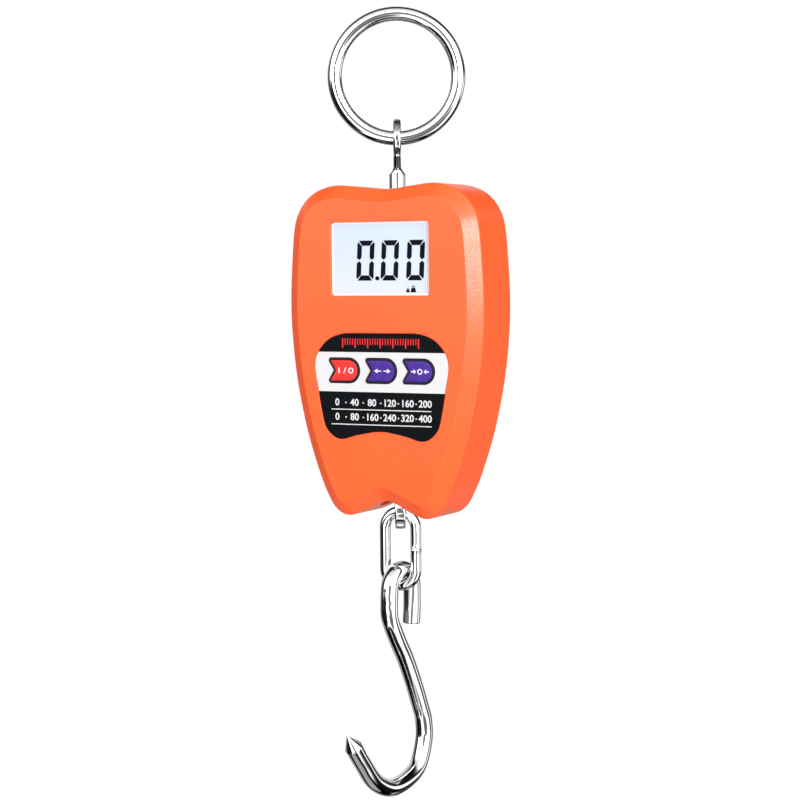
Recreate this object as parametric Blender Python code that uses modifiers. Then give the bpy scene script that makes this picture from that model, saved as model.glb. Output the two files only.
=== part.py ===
"""Handheld digital hanging scale: a steel ring and swivel eye above, an orange two-part case with a
display and three keys, and a swivel eye, chain link and S hook below.

Units are metres. The origin is the point inside the top of the ring where a finger or a peg bears.
+Z is up and the display faces -Y. The load line is the Z axis.
"""

import math

import bmesh
import bpy
from mathutils import Matrix, Vector

MM = 0.001
GAP = 0.3 * MM

# Hanging ring, turned from the case about the load line
RING_OUTER_DIAMETER = 49.4 * MM
RING_WIRE = 5.2 * MM
RING_TURN = math.radians(28)

# Upper eye: a flat forged eye on a round shank
TOP_EYE_THICKNESS = 2.8 * MM
TOP_EYE_HOLE_RADIUS = 3.1 * MM
TOP_EYE_OUTER_RADIUS = 7.1 * MM
SHANK_RADIUS = 2.95 * MM
THREAD_RADIUS = 2.5 * MM

# Case
CASE_TOP_Z = -58.2 * MM
CASE_HEIGHT = 118.8 * MM
CASE_WIDTH = 78.0 * MM
CASE_FRONT_Y = -13.9 * MM
CASE_REAR_Y = 15.3 * MM
PARTING_Y = 2.2 * MM
WALL = 2.2 * MM
BEVEL_INSET = 4.9 * MM
BEVEL_DEPTH = 3.8 * MM
REAR_INSET = 3.6 * MM
REAR_DEPTH = 3.4 * MM

# Display
DISPLAY_WIDTH = 39.4 * MM
DISPLAY_HEIGHT = 26.1 * MM
DISPLAY_Z = -84.2 * MM

# Label panel and keys
LABEL_TOP_Z = -111.1 * MM
LABEL_THICKNESS = 0.5 * MM
KEY_WIDTH = 13.0 * MM
KEY_HEIGHT = 8.8 * MM
KEY_NOTCH = 2.6 * MM
KEY_BOW = 4.3 * MM
KEY_PITCH = 15.0 * MM
KEY_Z = -124.4 * MM
KEY_CLEARANCE = 0.25 * MM
KEY_NAMES = ("power", "unit", "tare")

# Circuit board
BOARD_FRONT_Y = -7.9 * MM
BOARD_REAR_Y = -6.3 * MM
BOARD_TOP_Z = -67.0 * MM
BOARD_BOTTOM_Z = -137.0 * MM
BOARD_HALF_WIDTH = 24.0 * MM

# Load line hardware, top to bottom
YOKE_HALF_WIDTH = 9.0 * MM
YOKE_HALF_DEPTH = 5.0 * MM
YOKE_PLATE = 4.0 * MM
YOKE_HEIGHT = 17.0 * MM
TOP_YOKE_Z = -66.0 * MM
THRUST_WASHER = 1.0 * MM
LOCK_NUT_HEIGHT = 3.6 * MM
YOKE_BOLT_HEAD = 2.4 * MM
YOKE_BOLT_DEPTH = 3.0 * MM
CELL_HEIGHT = 26.0 * MM
CELL_HALF_WIDTH = 17.0 * MM
CELL_HALF_DEPTH = 6.0 * MM
CELL_TOP_Z = TOP_YOKE_Z - YOKE_HEIGHT - GAP
BOTTOM_YOKE_Z = CELL_TOP_Z - CELL_HEIGHT - GAP

# Lower eye, chain link and hook
BOTTOM_EYE_WIRE_RADIUS = 1.95 * MM
BOTTOM_EYE_LOOP_RADIUS = 4.85 * MM
BOTTOM_EYE_Z = -175.6 * MM
LINK_WIRE_RADIUS = 2.0 * MM
LINK_BEND_RADIUS = 5.95 * MM
LINK_TURN = math.radians(6)
LINK_TOP_Z = -176.0 * MM
LINK_BOTTOM_Z = -203.0 * MM
HOOK_WIRE_RADIUS = 3.25 * MM
HOOK_LOOP_RADIUS = 6.9 * MM
HOOK_TURN = math.radians(82)
HOOK_TOP_Z = LINK_BOTTOM_Z + 5.75 * MM

# Battery bay
BATTERY_LENGTH = 44.5 * MM
BATTERY_RADIUS = 5.1 * MM
BATTERY_Y = 8.4 * MM
BAY_HALF_WIDTH = 25.1 * MM
BAY_TOP_Z = -128.6 * MM
BAY_BOTTOM_Z = -152.0 * MM
BAY_WALL = 0.9 * MM
BAY_FRONT_Y = 1.8 * MM
BAY_REAR_Y = 12.7 * MM
CONTACT_X = 23.75 * MM
CONTACT_THICKNESS = 0.3 * MM
BAY_LEDGE = 0.9 * MM
COVER_THICKNESS = 1.2 * MM
COVER_EDGE = 0.3 * MM

SCREW_PLACES = ((29.5 * MM, -73.6 * MM), (-29.5 * MM, -73.6 * MM), (16 * MM, -166.2 * MM), (-16 * MM, -166.2 * MM))
BOARD_SCREW_PLACES = ((21 * MM, -103 * MM), (-21 * MM, -103 * MM), (21 * MM, -134 * MM), (-21 * MM, -134 * MM))

# Right half of the case outline in millimetres, from the dip at the top round to the arch below:
# half width and height above the case's lowest point
CASE_OUTLINE = (
    (0, 117.0), (9.5, 117.9), (19.4, 118.8), (26.6, 117.3), (31.6, 114.3), (35.3, 109.5), (37.2, 103.8),
    (38.3, 92.5), (39.0, 78.0), (38.6, 65.0), (36.7, 48.6), (33.0, 31.4), (28.6, 17.6), (24.7, 8.2),
    (20.8, 2.2), (15.4, 0.0), (8.0, 2.6), (0, 5.8),
)

# The hook's shank and bowl in millimetres: distance across its plane from the load line, and height
# above the top of its loop
HOOK_SHAPE = (
    (-7.2, -11.0), (-6.8, -17.0), (-2.9, -24.6), (2.0, -32.4), (6.6, -41.2), (11.0, -51.0), (13.6, -58.0),
    (13.5, -66.0), (8.2, -75.4), (-5.6, -79.0), (-16.6, -74.8), (-24.2, -66.2), (-29.2, -59.8),
)

# Right half of the label outline in millimetres, from its top edge down to its arch
LABEL_OUTLINE = (
    (0, 0), (9.0, 0), (15.0, -0.2), (21.0, -2.2), (25.4, -6.8), (26.8, -11.8), (25.6, -19.5), (24.2, -27.5),
    (22.2, -34.2), (17.0, -37.9), (9.5, -36.3), (0, -34.9),
)

PART_NAME = "hanging_scale"
CUTTER_NAME = "cutters"

MATERIALS = {
    "case_plastic": ((0.93, 0.13, 0.03), 0.45, 0.0),
    "chrome": ((0.80, 0.80, 0.82), 0.10, 1.0),
    "steel": ((0.55, 0.55, 0.56), 0.35, 1.0),
    "cell_metal": ((0.70, 0.71, 0.73), 0.40, 1.0),
    "brass": ((0.72, 0.52, 0.20), 0.30, 1.0),
    "rubber": ((0.03, 0.03, 0.03), 0.80, 0.0),
    "label_black": ((0.02, 0.02, 0.025), 0.35, 0.0),
    "key_red": ((0.80, 0.05, 0.05), 0.35, 0.0),
    "key_violet": ((0.09, 0.04, 0.35), 0.35, 0.0),
    "clear": ((0.90, 0.93, 0.96), 0.05, 0.0),
    "lcd": ((0.75, 0.80, 0.90), 0.20, 0.0),
    "backlight": ((0.90, 0.92, 1.00), 0.50, 0.0),
    "board": ((0.02, 0.22, 0.09), 0.40, 0.0),
    "black_plastic": ((0.03, 0.03, 0.035), 0.50, 0.0),
    "white_plastic": ((0.80, 0.80, 0.78), 0.50, 0.0),
    "wire_red": ((0.55, 0.02, 0.02), 0.50, 0.0),
    "wire_black": ((0.02, 0.02, 0.02), 0.50, 0.0),
    "cable_grey": ((0.30, 0.30, 0.32), 0.55, 0.0),
    "battery": ((0.10, 0.25, 0.45), 0.35, 0.3),
    "gauge": ((0.75, 0.45, 0.12), 0.60, 0.0),
}


# ---------------------------------------------------------------- scene and objects

def clear_scene():
    for thing in list(bpy.data.objects):
        bpy.data.objects.remove(thing, do_unlink=True)
    for name in (PART_NAME, CUTTER_NAME):
        group = bpy.data.collections.new(name)
        bpy.context.scene.collection.children.link(group)


def material(name):
    colour, roughness, metallic = MATERIALS[name]
    made = bpy.data.materials.get(name)
    if made is None:
        made = bpy.data.materials.new(name)
        made.use_nodes = True
        shader = made.node_tree.nodes["Principled BSDF"]
        shader.inputs["Base Color"].default_value = (*colour, 1)
        shader.inputs["Roughness"].default_value = roughness
        shader.inputs["Metallic"].default_value = metallic
        made.diffuse_color = (*colour, 1)
    return made


def place(name, data, group=PART_NAME, look=None, location=(0, 0, 0), turn=0.0):
    """Links a new object to its collection, standing at a point and turned about Z."""
    obj = bpy.data.objects.new(name, data)
    obj.location = location
    obj.rotation_euler = (0, 0, turn)
    bpy.data.collections[group].objects.link(obj)
    if group == CUTTER_NAME:
        obj.hide_render = True
        obj.display_type = "WIRE"
    if look:
        data.materials.append(material(look))
    return obj


def mesh_from(build, name):
    """A mesh filled by a function that takes an empty bmesh."""
    mesh = bpy.data.meshes.new(name)
    bm = bmesh.new()
    build(bm)
    bmesh.ops.recalc_face_normals(bm, faces=bm.faces)
    bm.to_mesh(mesh)
    bm.free()
    return mesh


def smooth(obj, angle=35):
    obj.data.shade_smooth()
    obj.data.set_sharp_from_angle(angle=math.radians(angle))
    return obj


def box(name, low, high, look=None, group=PART_NAME, bevel=0.0):
    """A box between two corners, with its edges rounded when a bevel is given."""
    size = [b - a for a, b in zip(low, high)]
    middle = [(a + b) / 2 for a, b in zip(low, high)]

    def build(bm):
        bmesh.ops.create_cube(bm, size=1, matrix=Matrix.Diagonal((*size, 1)))

    obj = place(name, mesh_from(build, name), group, look, middle)
    if bevel:
        add_bevel(obj, bevel)
    return obj


def rod(name, radius, start, end, look=None, group=PART_NAME, sides=20, end_radius=None):
    """A closed cylinder or cone from one point to another."""
    start = Vector(start)
    along = Vector(end) - start
    spin = along.to_track_quat("Z", "Y").to_matrix().to_4x4()
    shift = Matrix.Translation((0, 0, along.length / 2))
    tip_radius = radius if end_radius is None else end_radius

    def build(bm):
        bmesh.ops.create_cone(
            bm, cap_ends=True, segments=sides, radius1=radius, radius2=tip_radius,
            depth=along.length, matrix=spin @ shift,
        )

    return smooth(place(name, mesh_from(build, name), group, look, start))


def add_bevel(obj, width, segments=2):
    cut = obj.modifiers.new("rounded_edges", "BEVEL")
    cut.width = width
    cut.segments = segments
    cut.limit_method = "ANGLE"
    cut.angle_limit = math.radians(40)


def combine(obj, other, operation):
    cut = obj.modifiers.new(other.name, "BOOLEAN")
    cut.operation = operation
    cut.object = other
    cut.solver = "EXACT"


def subtract(obj, *others):
    for other in others:
        combine(obj, other, "DIFFERENCE")


def join(obj, *others):
    for other in others:
        combine(obj, other, "UNION")


# ---------------------------------------------------------------- curves and outlines

def spline_point(points, place_on):
    """A point on the Catmull-Rom curve through points, at a place counted in points."""
    last = len(points) - 1
    index = min(int(place_on), last - 1)
    t = place_on - index
    before = points[max(index - 1, 0)]
    start = points[index]
    end = points[index + 1]
    after = points[min(index + 2, last)]
    return start * 1.0 + 0.5 * (
        (end - before) * t
        + (2 * before - 5 * start + 4 * end - after) * t ** 2
        + (3 * start - before - 3 * end + after) * t ** 3
    )


def symmetric_outline(half, samples):
    """A closed outline from its right half, smooth across the middle at both ends."""
    mirrored_start = Vector((-half[1][0], half[1][1]))
    mirrored_end = Vector((-half[-2][0], half[-2][1]))
    points = [mirrored_start, *[Vector(p) for p in half], mirrored_end]
    steps = (len(half) - 1) * samples
    right = [spline_point(points, 1 + i / samples) for i in range(steps + 1)]
    left = [Vector((-p.x, p.y)) for p in reversed(right[1:-1])]
    return right + left


def inset_outline(outline, inset):
    """The outline moved inwards by a distance, for one that runs clockwise."""
    moved = []
    count = len(outline)
    for i, point in enumerate(outline):
        along = (outline[(i + 1) % count] - outline[i - 1]).normalized()
        moved.append(point + inset * Vector((along.y, -along.x)))
    return moved


def case_outline(inset=0.0, samples=2):
    base_z = CASE_TOP_Z - CASE_HEIGHT
    half = [(x * MM, base_z + z * MM) for x, z in CASE_OUTLINE]
    return inset_outline(symmetric_outline(half, samples), inset)


def label_outline(inset=0.0, samples=3):
    half = [(x * MM, LABEL_TOP_Z + z * MM) for x, z in LABEL_OUTLINE]
    return inset_outline(symmetric_outline(half, samples), inset)


def key_outline(x, grow=0.0):
    """A key seen from the front: a notched left end with rounded tips and a bowed right end."""
    left = -KEY_WIDTH / 2
    top = KEY_HEIGHT / 2
    bow_x = KEY_WIDTH / 2 - KEY_BOW
    points = [
        (left + KEY_NOTCH, 0), (left + 0.85 * KEY_NOTCH, 0.2 * top), (left + 0.15 * KEY_NOTCH, 0.7 * top),
        (left, 0.86 * top), (left + 0.15 * KEY_NOTCH, 0.97 * top), (left + 0.4 * KEY_NOTCH, top),
        (bow_x, top),
    ]
    for step in range(1, 8):
        angle = math.pi / 2 - step * math.pi / 8
        points.append((bow_x + KEY_BOW * math.cos(angle), top * math.sin(angle)))
    points += [(px, -pz) for px, pz in reversed(points[1:7])]
    return inset_outline([Vector((x + px, KEY_Z + pz)) for px, pz in points], -grow)


def plate(name, outline, front_y, rear_y, look=None, group=PART_NAME):
    """A flat outline given thickness between two depths, with its front facing -Y."""
    curve = bpy.data.curves.new(name, "CURVE")
    curve.dimensions = "2D"
    curve.fill_mode = "BOTH"
    curve.extrude = (rear_y - front_y) / 2
    spline = curve.splines.new("POLY")
    spline.points.add(len(outline) - 1)
    for spot, point in zip(spline.points, outline):
        spot.co = (point.x, point.y, 0, 1)
    spline.use_cyclic_u = True
    obj = place(name, curve, group, None, (0, (front_y + rear_y) / 2, 0))
    obj.rotation_euler = (math.pi / 2, 0, 0)
    return solid_from(obj, look)


def wire(name, points, radius, look, resolution=3, closed=False, location=(0, 0, 0), turn=0.0):
    """A round bar along a list of points."""
    curve = bpy.data.curves.new(name, "CURVE")
    curve.dimensions = "3D"
    curve.bevel_depth = radius
    curve.bevel_resolution = resolution
    curve.use_fill_caps = True
    curve.twist_mode = "MINIMUM"
    spline = curve.splines.new("POLY")
    spline.points.add(len(points) - 1)
    for spot, point in zip(spline.points, points):
        spot.co = (*point, 1)
    spline.use_cyclic_u = closed
    return place(name, curve, PART_NAME, look, location, turn)


def solid_from(curve_object, look=None):
    """The curve object remade as a closed mesh of the same name."""
    name = curve_object.name
    group = curve_object.users_collection[0].name
    bpy.context.view_layer.update()
    graph = bpy.context.evaluated_depsgraph_get()
    mesh = bpy.data.meshes.new_from_object(curve_object.evaluated_get(graph))
    bm = bmesh.new()
    bm.from_mesh(mesh)
    bmesh.ops.remove_doubles(bm, verts=bm.verts, dist=0.00001)
    bmesh.ops.recalc_face_normals(bm, faces=bm.faces)
    bm.to_mesh(mesh)
    bm.free()
    matrix = curve_object.matrix_world.copy()
    bpy.data.objects.remove(curve_object, do_unlink=True)
    obj = place(name, mesh, group, look)
    obj.matrix_world = matrix
    return obj


def turned(name, profile, look, location=(0, 0, 0), steps=24, group=PART_NAME):
    """A ring or shaft turned about Z from a closed or axis-to-axis profile of (radius, height)."""
    mesh = bpy.data.meshes.new(name)
    bm = bmesh.new()
    corners = [bm.verts.new((r, 0, z)) for r, z in profile]
    on_axis = profile[0][0] == 0
    for first, second in zip(corners, corners[1:]):
        bm.edges.new((first, second))
    if not on_axis:
        bm.edges.new((corners[-1], corners[0]))
    bm.to_mesh(mesh)
    bm.free()
    obj = place(name, mesh, group, look, location)
    screw = obj.modifiers.new("turned", "SCREW")
    screw.steps = steps
    screw.render_steps = steps
    screw.use_merge_vertices = True
    screw.merge_threshold = 0.00001
    screw.use_smooth_shade = True
    return obj


def washer_profile(inner, outer, thickness):
    """Runs down the outer side first."""
    return ((outer, thickness), (outer, 0), (inner, 0), (inner, thickness))


# ---------------------------------------------------------------- ring and upper eye

def make_ring():
    radius = (RING_OUTER_DIAMETER - RING_WIRE) / 2
    centre_z = -(radius - RING_WIRE / 2)
    count = 56
    points = []
    for step in range(count):
        angle = 2 * math.pi * step / count
        points.append((radius * math.sin(angle), 0, radius * math.cos(angle)))
    wire("hanging_ring", points, RING_WIRE / 2, "chrome", 3, True, (0, 0, centre_z), RING_TURN)


def ring_bottom_z():
    """Height of the middle of the ring's wire at its lowest point."""
    return -(RING_OUTER_DIAMETER - 1.5 * RING_WIRE)


def eye_loop(name, half_thickness, inner, outer, corner):
    """A flat eye turned about a level axis, with rounded edges."""
    profile = (
        (outer, half_thickness - corner), (outer, -half_thickness + corner),
        (outer - corner, -half_thickness), (inner + corner, -half_thickness),
        (inner, -half_thickness + corner), (inner, half_thickness - corner),
        (inner + corner, half_thickness), (outer - corner, half_thickness),
    )
    return turned(name, profile, "chrome", steps=28)


def loft(name, sections, look):
    """A closed skin over rings of equal length, with flat ends."""
    def build(bm):
        rings = [[bm.verts.new(p) for p in section] for section in sections]
        for lower, upper in zip(rings, rings[1:]):
            for i in range(len(lower)):
                j = (i + 1) % len(lower)
                bm.faces.new((lower[i], lower[j], upper[j], upper[i]))
        bm.faces.new(rings[0])
        bm.faces.new(rings[-1])

    return place(name, mesh_from(build, name), look=look)


def oval(half_x, half_y, z, count=16):
    return [
        (half_x * math.cos(2 * math.pi * i / count), half_y * math.sin(2 * math.pi * i / count), z)
        for i in range(count)
    ]


def swivel_stack():
    """Length of shank that the thrust washer and lock nut cover, with its end standing proud."""
    return THRUST_WASHER + LOCK_NUT_HEIGHT + 3 * GAP + 0.3 * MM


def make_top_eye():
    eye_z = ring_bottom_z() + RING_WIRE / 2 + GAP - TOP_EYE_HOLE_RADIUS
    half = TOP_EYE_THICKNESS / 2
    shoulder = TOP_YOKE_Z - YOKE_PLATE + 0.5 * MM
    shank_end = TOP_YOKE_Z - YOKE_PLATE - swivel_stack()
    neck = [
        oval(half, 3.4 * MM, eye_z - TOP_EYE_HOLE_RADIUS - 1.2 * MM),
        oval(half, SHANK_RADIUS, -51.6 * MM),
        oval(half, SHANK_RADIUS, -52.4 * MM),
        oval(SHANK_RADIUS, SHANK_RADIUS, -54.2 * MM),
        oval(SHANK_RADIUS, SHANK_RADIUS, shoulder),
        oval(THREAD_RADIUS, THREAD_RADIUS, shoulder - 0.4 * MM),
        oval(THREAD_RADIUS, THREAD_RADIUS, shank_end),
    ]
    eye = loft("top_eye_bolt", neck, "chrome")
    eye.rotation_euler = (0, 0, RING_TURN)
    loop = eye_loop("top_eye_loop", half, TOP_EYE_HOLE_RADIUS, TOP_EYE_OUTER_RADIUS, 0.8 * MM)
    loop.rotation_euler = (0, math.pi / 2, RING_TURN)
    loop.location = (0, 0, eye_z)
    move_to_cutters(loop)
    join(eye, loop)
    smooth(eye, 40)


def move_to_cutters(obj):
    for group in list(obj.users_collection):
        group.objects.unlink(obj)
    bpy.data.collections[CUTTER_NAME].objects.link(obj)
    obj.hide_render = True
    obj.display_type = "WIRE"
    return obj


# ---------------------------------------------------------------- case

def shell(name, levels, look):
    """An open skin through levels of (inset, y) on the case outline, closed at the last, made WALL thick."""
    def build(bm):
        rings = []
        for inset, y in levels:
            rings.append([bm.verts.new((p.x, y, p.y)) for p in case_outline(inset)])
        for outer, inner in zip(rings, rings[1:]):
            for i in range(len(outer)):
                j = (i + 1) % len(outer)
                bm.faces.new((outer[i], outer[j], inner[j], inner[i]))
        bm.faces.new(rings[-1])

    obj = place(name, mesh_from(build, name), look=look)
    thick = obj.modifiers.new("wall", "SOLIDIFY")
    thick.thickness = WALL
    thick.offset = -1
    thick.use_even_offset = True
    face_outwards(obj, levels[-1][1] < levels[0][1])
    return obj


def face_outwards(obj, faces_front):
    """Turns the open skin's normals so that its closed end points away from the case."""
    mesh = obj.data
    closed_end = max(mesh.polygons, key=lambda face: len(face.vertices))
    points_front = closed_end.normal.y < 0
    if points_front != faces_front:
        mesh.flip_normals()


def case_holes(shell_object, side):
    """Openings for the eye shanks through the top and bottom walls of a shell."""
    top = rod("shank_hole_" + side, SHANK_RADIUS + GAP, (0, 0, -50 * MM), (0, 0, -68 * MM), group=CUTTER_NAME)
    bottom = rod("eye_hole_" + side, 7.4 * MM, (0, 0, -163 * MM), (0, 0, -182 * MM), group=CUTTER_NAME, sides=28)
    subtract(shell_object, top, bottom)


def make_front_shell():
    side_end = CASE_FRONT_Y + BEVEL_DEPTH
    levels = (
        (0, PARTING_Y - GAP / 2), (0, side_end + 0.9 * MM), (0.5 * MM, side_end - 0.5 * MM),
        (BEVEL_INSET - 1.1 * MM, CASE_FRONT_Y + 0.7 * MM), (BEVEL_INSET + 0.4 * MM, CASE_FRONT_Y),
    )
    front = shell("front_shell", levels, "case_plastic")
    inner_y = CASE_FRONT_Y + WALL
    for i, (x, z) in enumerate(SCREW_PLACES):
        post = rod(f"front_post_{i}", 3.1 * MM, (x, inner_y - 0.8 * MM, z), (x, PARTING_Y - 0.5 * MM, z),
                   group=CUTTER_NAME, sides=14)
        hole = rod(f"front_post_hole_{i}", 1.5 * MM, (x, -7.5 * MM, z), (x, PARTING_Y + MM, z),
                   group=CUTTER_NAME, sides=12)
        join(front, post)
        subtract(front, hole)
    for i, (x, z) in enumerate(BOARD_SCREW_PLACES):
        post = rod(f"board_post_{i}", 2.2 * MM, (x, inner_y - 0.8 * MM, z), (x, BOARD_FRONT_Y - GAP, z),
                   group=CUTTER_NAME, sides=12)
        hole = rod(f"board_post_hole_{i}", 1.2 * MM, (x, inner_y + 0.3 * MM, z), (x, BOARD_REAR_Y, z),
                   group=CUTTER_NAME, sides=10)
        join(front, post)
        subtract(front, hole)
    case_holes(front, "front")
    window = box("window_opening", (-DISPLAY_WIDTH / 2, CASE_FRONT_Y - MM, DISPLAY_Z - DISPLAY_HEIGHT / 2),
                 (DISPLAY_WIDTH / 2, inner_y + MM, DISPLAY_Z + DISPLAY_HEIGHT / 2), group=CUTTER_NAME)
    recess = plate("label_recess", label_outline(-0.2 * MM), CASE_FRONT_Y - MM, CASE_FRONT_Y + 0.4 * MM,
                   group=CUTTER_NAME)
    subtract(front, window, recess)
    for i, name in enumerate(KEY_NAMES):
        subtract(front, plate("key_opening_" + name, key_outline((i - 1) * KEY_PITCH, KEY_CLEARANCE),
                              CASE_FRONT_Y - MM, inner_y + MM, group=CUTTER_NAME))


def make_rear_shell():
    side_end = CASE_REAR_Y - REAR_DEPTH
    levels = (
        (0, PARTING_Y + GAP / 2), (0, side_end - 0.8 * MM), (0.6 * MM, side_end + 0.7 * MM),
        (REAR_INSET - 1.2 * MM, CASE_REAR_Y - 0.7 * MM), (REAR_INSET + 0.4 * MM, CASE_REAR_Y),
    )
    rear = shell("rear_shell", levels, "case_plastic")
    inner_y = CASE_REAR_Y - WALL
    for i, (x, z) in enumerate(SCREW_PLACES):
        post = rod(f"rear_post_{i}", 3.4 * MM, (x, PARTING_Y + 0.5 * MM, z), (x, inner_y + 0.8 * MM, z),
                   group=CUTTER_NAME, sides=14)
        hole = rod(f"rear_post_hole_{i}", 1.6 * MM, (x, PARTING_Y - MM, z), (x, CASE_REAR_Y + MM, z),
                   group=CUTTER_NAME, sides=12)
        sink = rod(f"rear_sink_{i}", 3.0 * MM, (x, CASE_REAR_Y - 3.2 * MM, z), (x, CASE_REAR_Y + MM, z),
                   group=CUTTER_NAME, sides=16)
        join(rear, post)
        subtract(rear, hole, sink)
    case_holes(rear, "rear")
    edge = COVER_EDGE + GAP
    opening = box("bay_opening", (-BAY_HALF_WIDTH + BAY_LEDGE, inner_y - MM, BAY_BOTTOM_Z + BAY_LEDGE),
                  (BAY_HALF_WIDTH - BAY_LEDGE, CASE_REAR_Y + MM, BAY_TOP_Z - BAY_LEDGE), group=CUTTER_NAME)
    ledge = box("cover_recess", (-BAY_HALF_WIDTH - edge, CASE_REAR_Y - COVER_THICKNESS - GAP, BAY_BOTTOM_Z - edge),
                (BAY_HALF_WIDTH + edge, CASE_REAR_Y + MM, BAY_TOP_Z + edge), group=CUTTER_NAME)
    subtract(rear, opening, ledge)


def make_case_seal():
    """A soft ring inside the joint between the shells, notched where the eye shanks pass."""
    front_y = 1.2 * MM
    rear_y = 5.8 * MM
    seal = plate("case_seal", case_outline(WALL + 0.3 * MM), front_y, rear_y, "rubber")
    inside = plate("case_seal_inside", case_outline(WALL + 1.2 * MM), front_y - MM, rear_y + MM,
                   group=CUTTER_NAME)
    top = rod("case_seal_top", 5.4 * MM, (0, 0, -55 * MM), (0, 0, -75 * MM), group=CUTTER_NAME)
    bottom = rod("case_seal_bottom", 7.7 * MM, (0, 0, -160 * MM), (0, 0, -182 * MM), group=CUTTER_NAME)
    subtract(seal, inside, top, bottom)


def make_case_screws():
    head_y = CASE_REAR_Y - 1.0 * MM
    for i, (x, z) in enumerate(SCREW_PLACES):
        profile = (
            (0, 2.0 * MM), (2.0 * MM, 2.0 * MM), (2.6 * MM, 1.4 * MM), (2.6 * MM, 0),
            (1.1 * MM, 0), (1.1 * MM, -17 * MM), (0, -17.8 * MM),
        )
        screw = turned(f"case_screw_{i + 1}", profile, "steel", (x, head_y - 2 * MM, z), 14)
        screw.rotation_euler = (-math.pi / 2, 0, 0)
        for k in range(2):
            arm = box(f"screw_slot_{i}_{k}", (-1.5 * MM, -0.3 * MM, 1.3 * MM), (1.5 * MM, 0.3 * MM, 3 * MM),
                      group=CUTTER_NAME)
            arm.parent = screw
            arm.location = (0, 0, 2.15 * MM)
            arm.rotation_euler = (0, 0, k * math.pi / 2)
            subtract(screw, arm)


# ---------------------------------------------------------------- display, label and keys

def make_display():
    half_w = DISPLAY_WIDTH / 2
    half_h = DISPLAY_HEIGHT / 2
    inset = 0.15 * MM
    wall_inside = CASE_FRONT_Y + WALL
    box("display_window", (-half_w + inset, CASE_FRONT_Y + 0.35 * MM, DISPLAY_Z - half_h + inset),
        (half_w - inset, wall_inside - 0.2 * MM, DISPLAY_Z + half_h - inset), "clear", bevel=0.15 * MM)
    grow = 0.9 * MM
    front = wall_inside + GAP
    box("lcd_panel", (-half_w - grow, front, DISPLAY_Z - half_h - grow),
        (half_w + grow, front + 1.2 * MM, DISPLAY_Z + half_h + grow), "lcd")
    box("backlight_panel", (-half_w - grow, front + 1.5 * MM, DISPLAY_Z - half_h - grow),
        (half_w + grow, BOARD_FRONT_Y - GAP, DISPLAY_Z + half_h + grow), "backlight")
    rim = 1.3 * MM
    outer = grow + GAP + rim
    frame = box("lcd_frame", (-half_w - outer, front, DISPLAY_Z - half_h - outer),
                (half_w + outer, BOARD_FRONT_Y - GAP, DISPLAY_Z + half_h + outer), "black_plastic")
    inner = grow + GAP
    opening = box("lcd_frame_opening", (-half_w - inner, front - MM, DISPLAY_Z - half_h - inner),
                  (half_w + inner, BOARD_REAR_Y, DISPLAY_Z + half_h + inner), group=CUTTER_NAME)
    subtract(frame, opening)


def make_label():
    rear_y = CASE_FRONT_Y + 0.4 * MM - 0.05 * MM
    label = plate("label_panel", label_outline(), rear_y - LABEL_THICKNESS, rear_y, "label_black")
    for i, name in enumerate(KEY_NAMES):
        subtract(label, plate("label_opening_" + name, key_outline((i - 1) * KEY_PITCH, KEY_CLEARANCE),
                              CASE_FRONT_Y - MM, CASE_FRONT_Y + MM, group=CUTTER_NAME))


def make_keys():
    """Each key has a cap, a retaining flange behind the wall, a plunger, and a switch on the board."""
    wall_inside = CASE_FRONT_Y + WALL
    flange_front = wall_inside + GAP
    flange_rear = flange_front + 0.5 * MM
    switch_front = BOARD_FRONT_Y - 2.3 * MM
    for i, name in enumerate(KEY_NAMES):
        x = (i - 1) * KEY_PITCH
        look = "key_red" if i == 0 else "key_violet"
        key = plate("key_" + name, key_outline(x), CASE_FRONT_Y - 0.35 * MM, flange_front + 0.1 * MM, look)
        flange = box("key_flange_" + name, (x - KEY_WIDTH / 2 - 0.7 * MM, flange_front, KEY_Z - KEY_HEIGHT / 2 - 0.7 * MM),
                     (x + KEY_WIDTH / 2 + 0.7 * MM, flange_rear, KEY_Z + KEY_HEIGHT / 2 + 0.7 * MM), group=CUTTER_NAME)
        join(key, flange)
        rod("plunger_" + name, 1.5 * MM, (x, flange_rear + 0.1 * MM, KEY_Z), (x, switch_front + 0.2 * MM, KEY_Z),
            "white_plastic", sides=12)
        switch = box("switch_" + name, (x - 3 * MM, switch_front, KEY_Z - 3 * MM),
                     (x + 3 * MM, BOARD_FRONT_Y - 0.1 * MM, KEY_Z + 3 * MM), "black_plastic")
        well = rod("switch_well_" + name, 1.8 * MM, (x, switch_front - MM, KEY_Z), (x, switch_front + 1.2 * MM, KEY_Z),
                   group=CUTTER_NAME, sides=12)
        subtract(switch, well)


# ---------------------------------------------------------------- electronics

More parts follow.
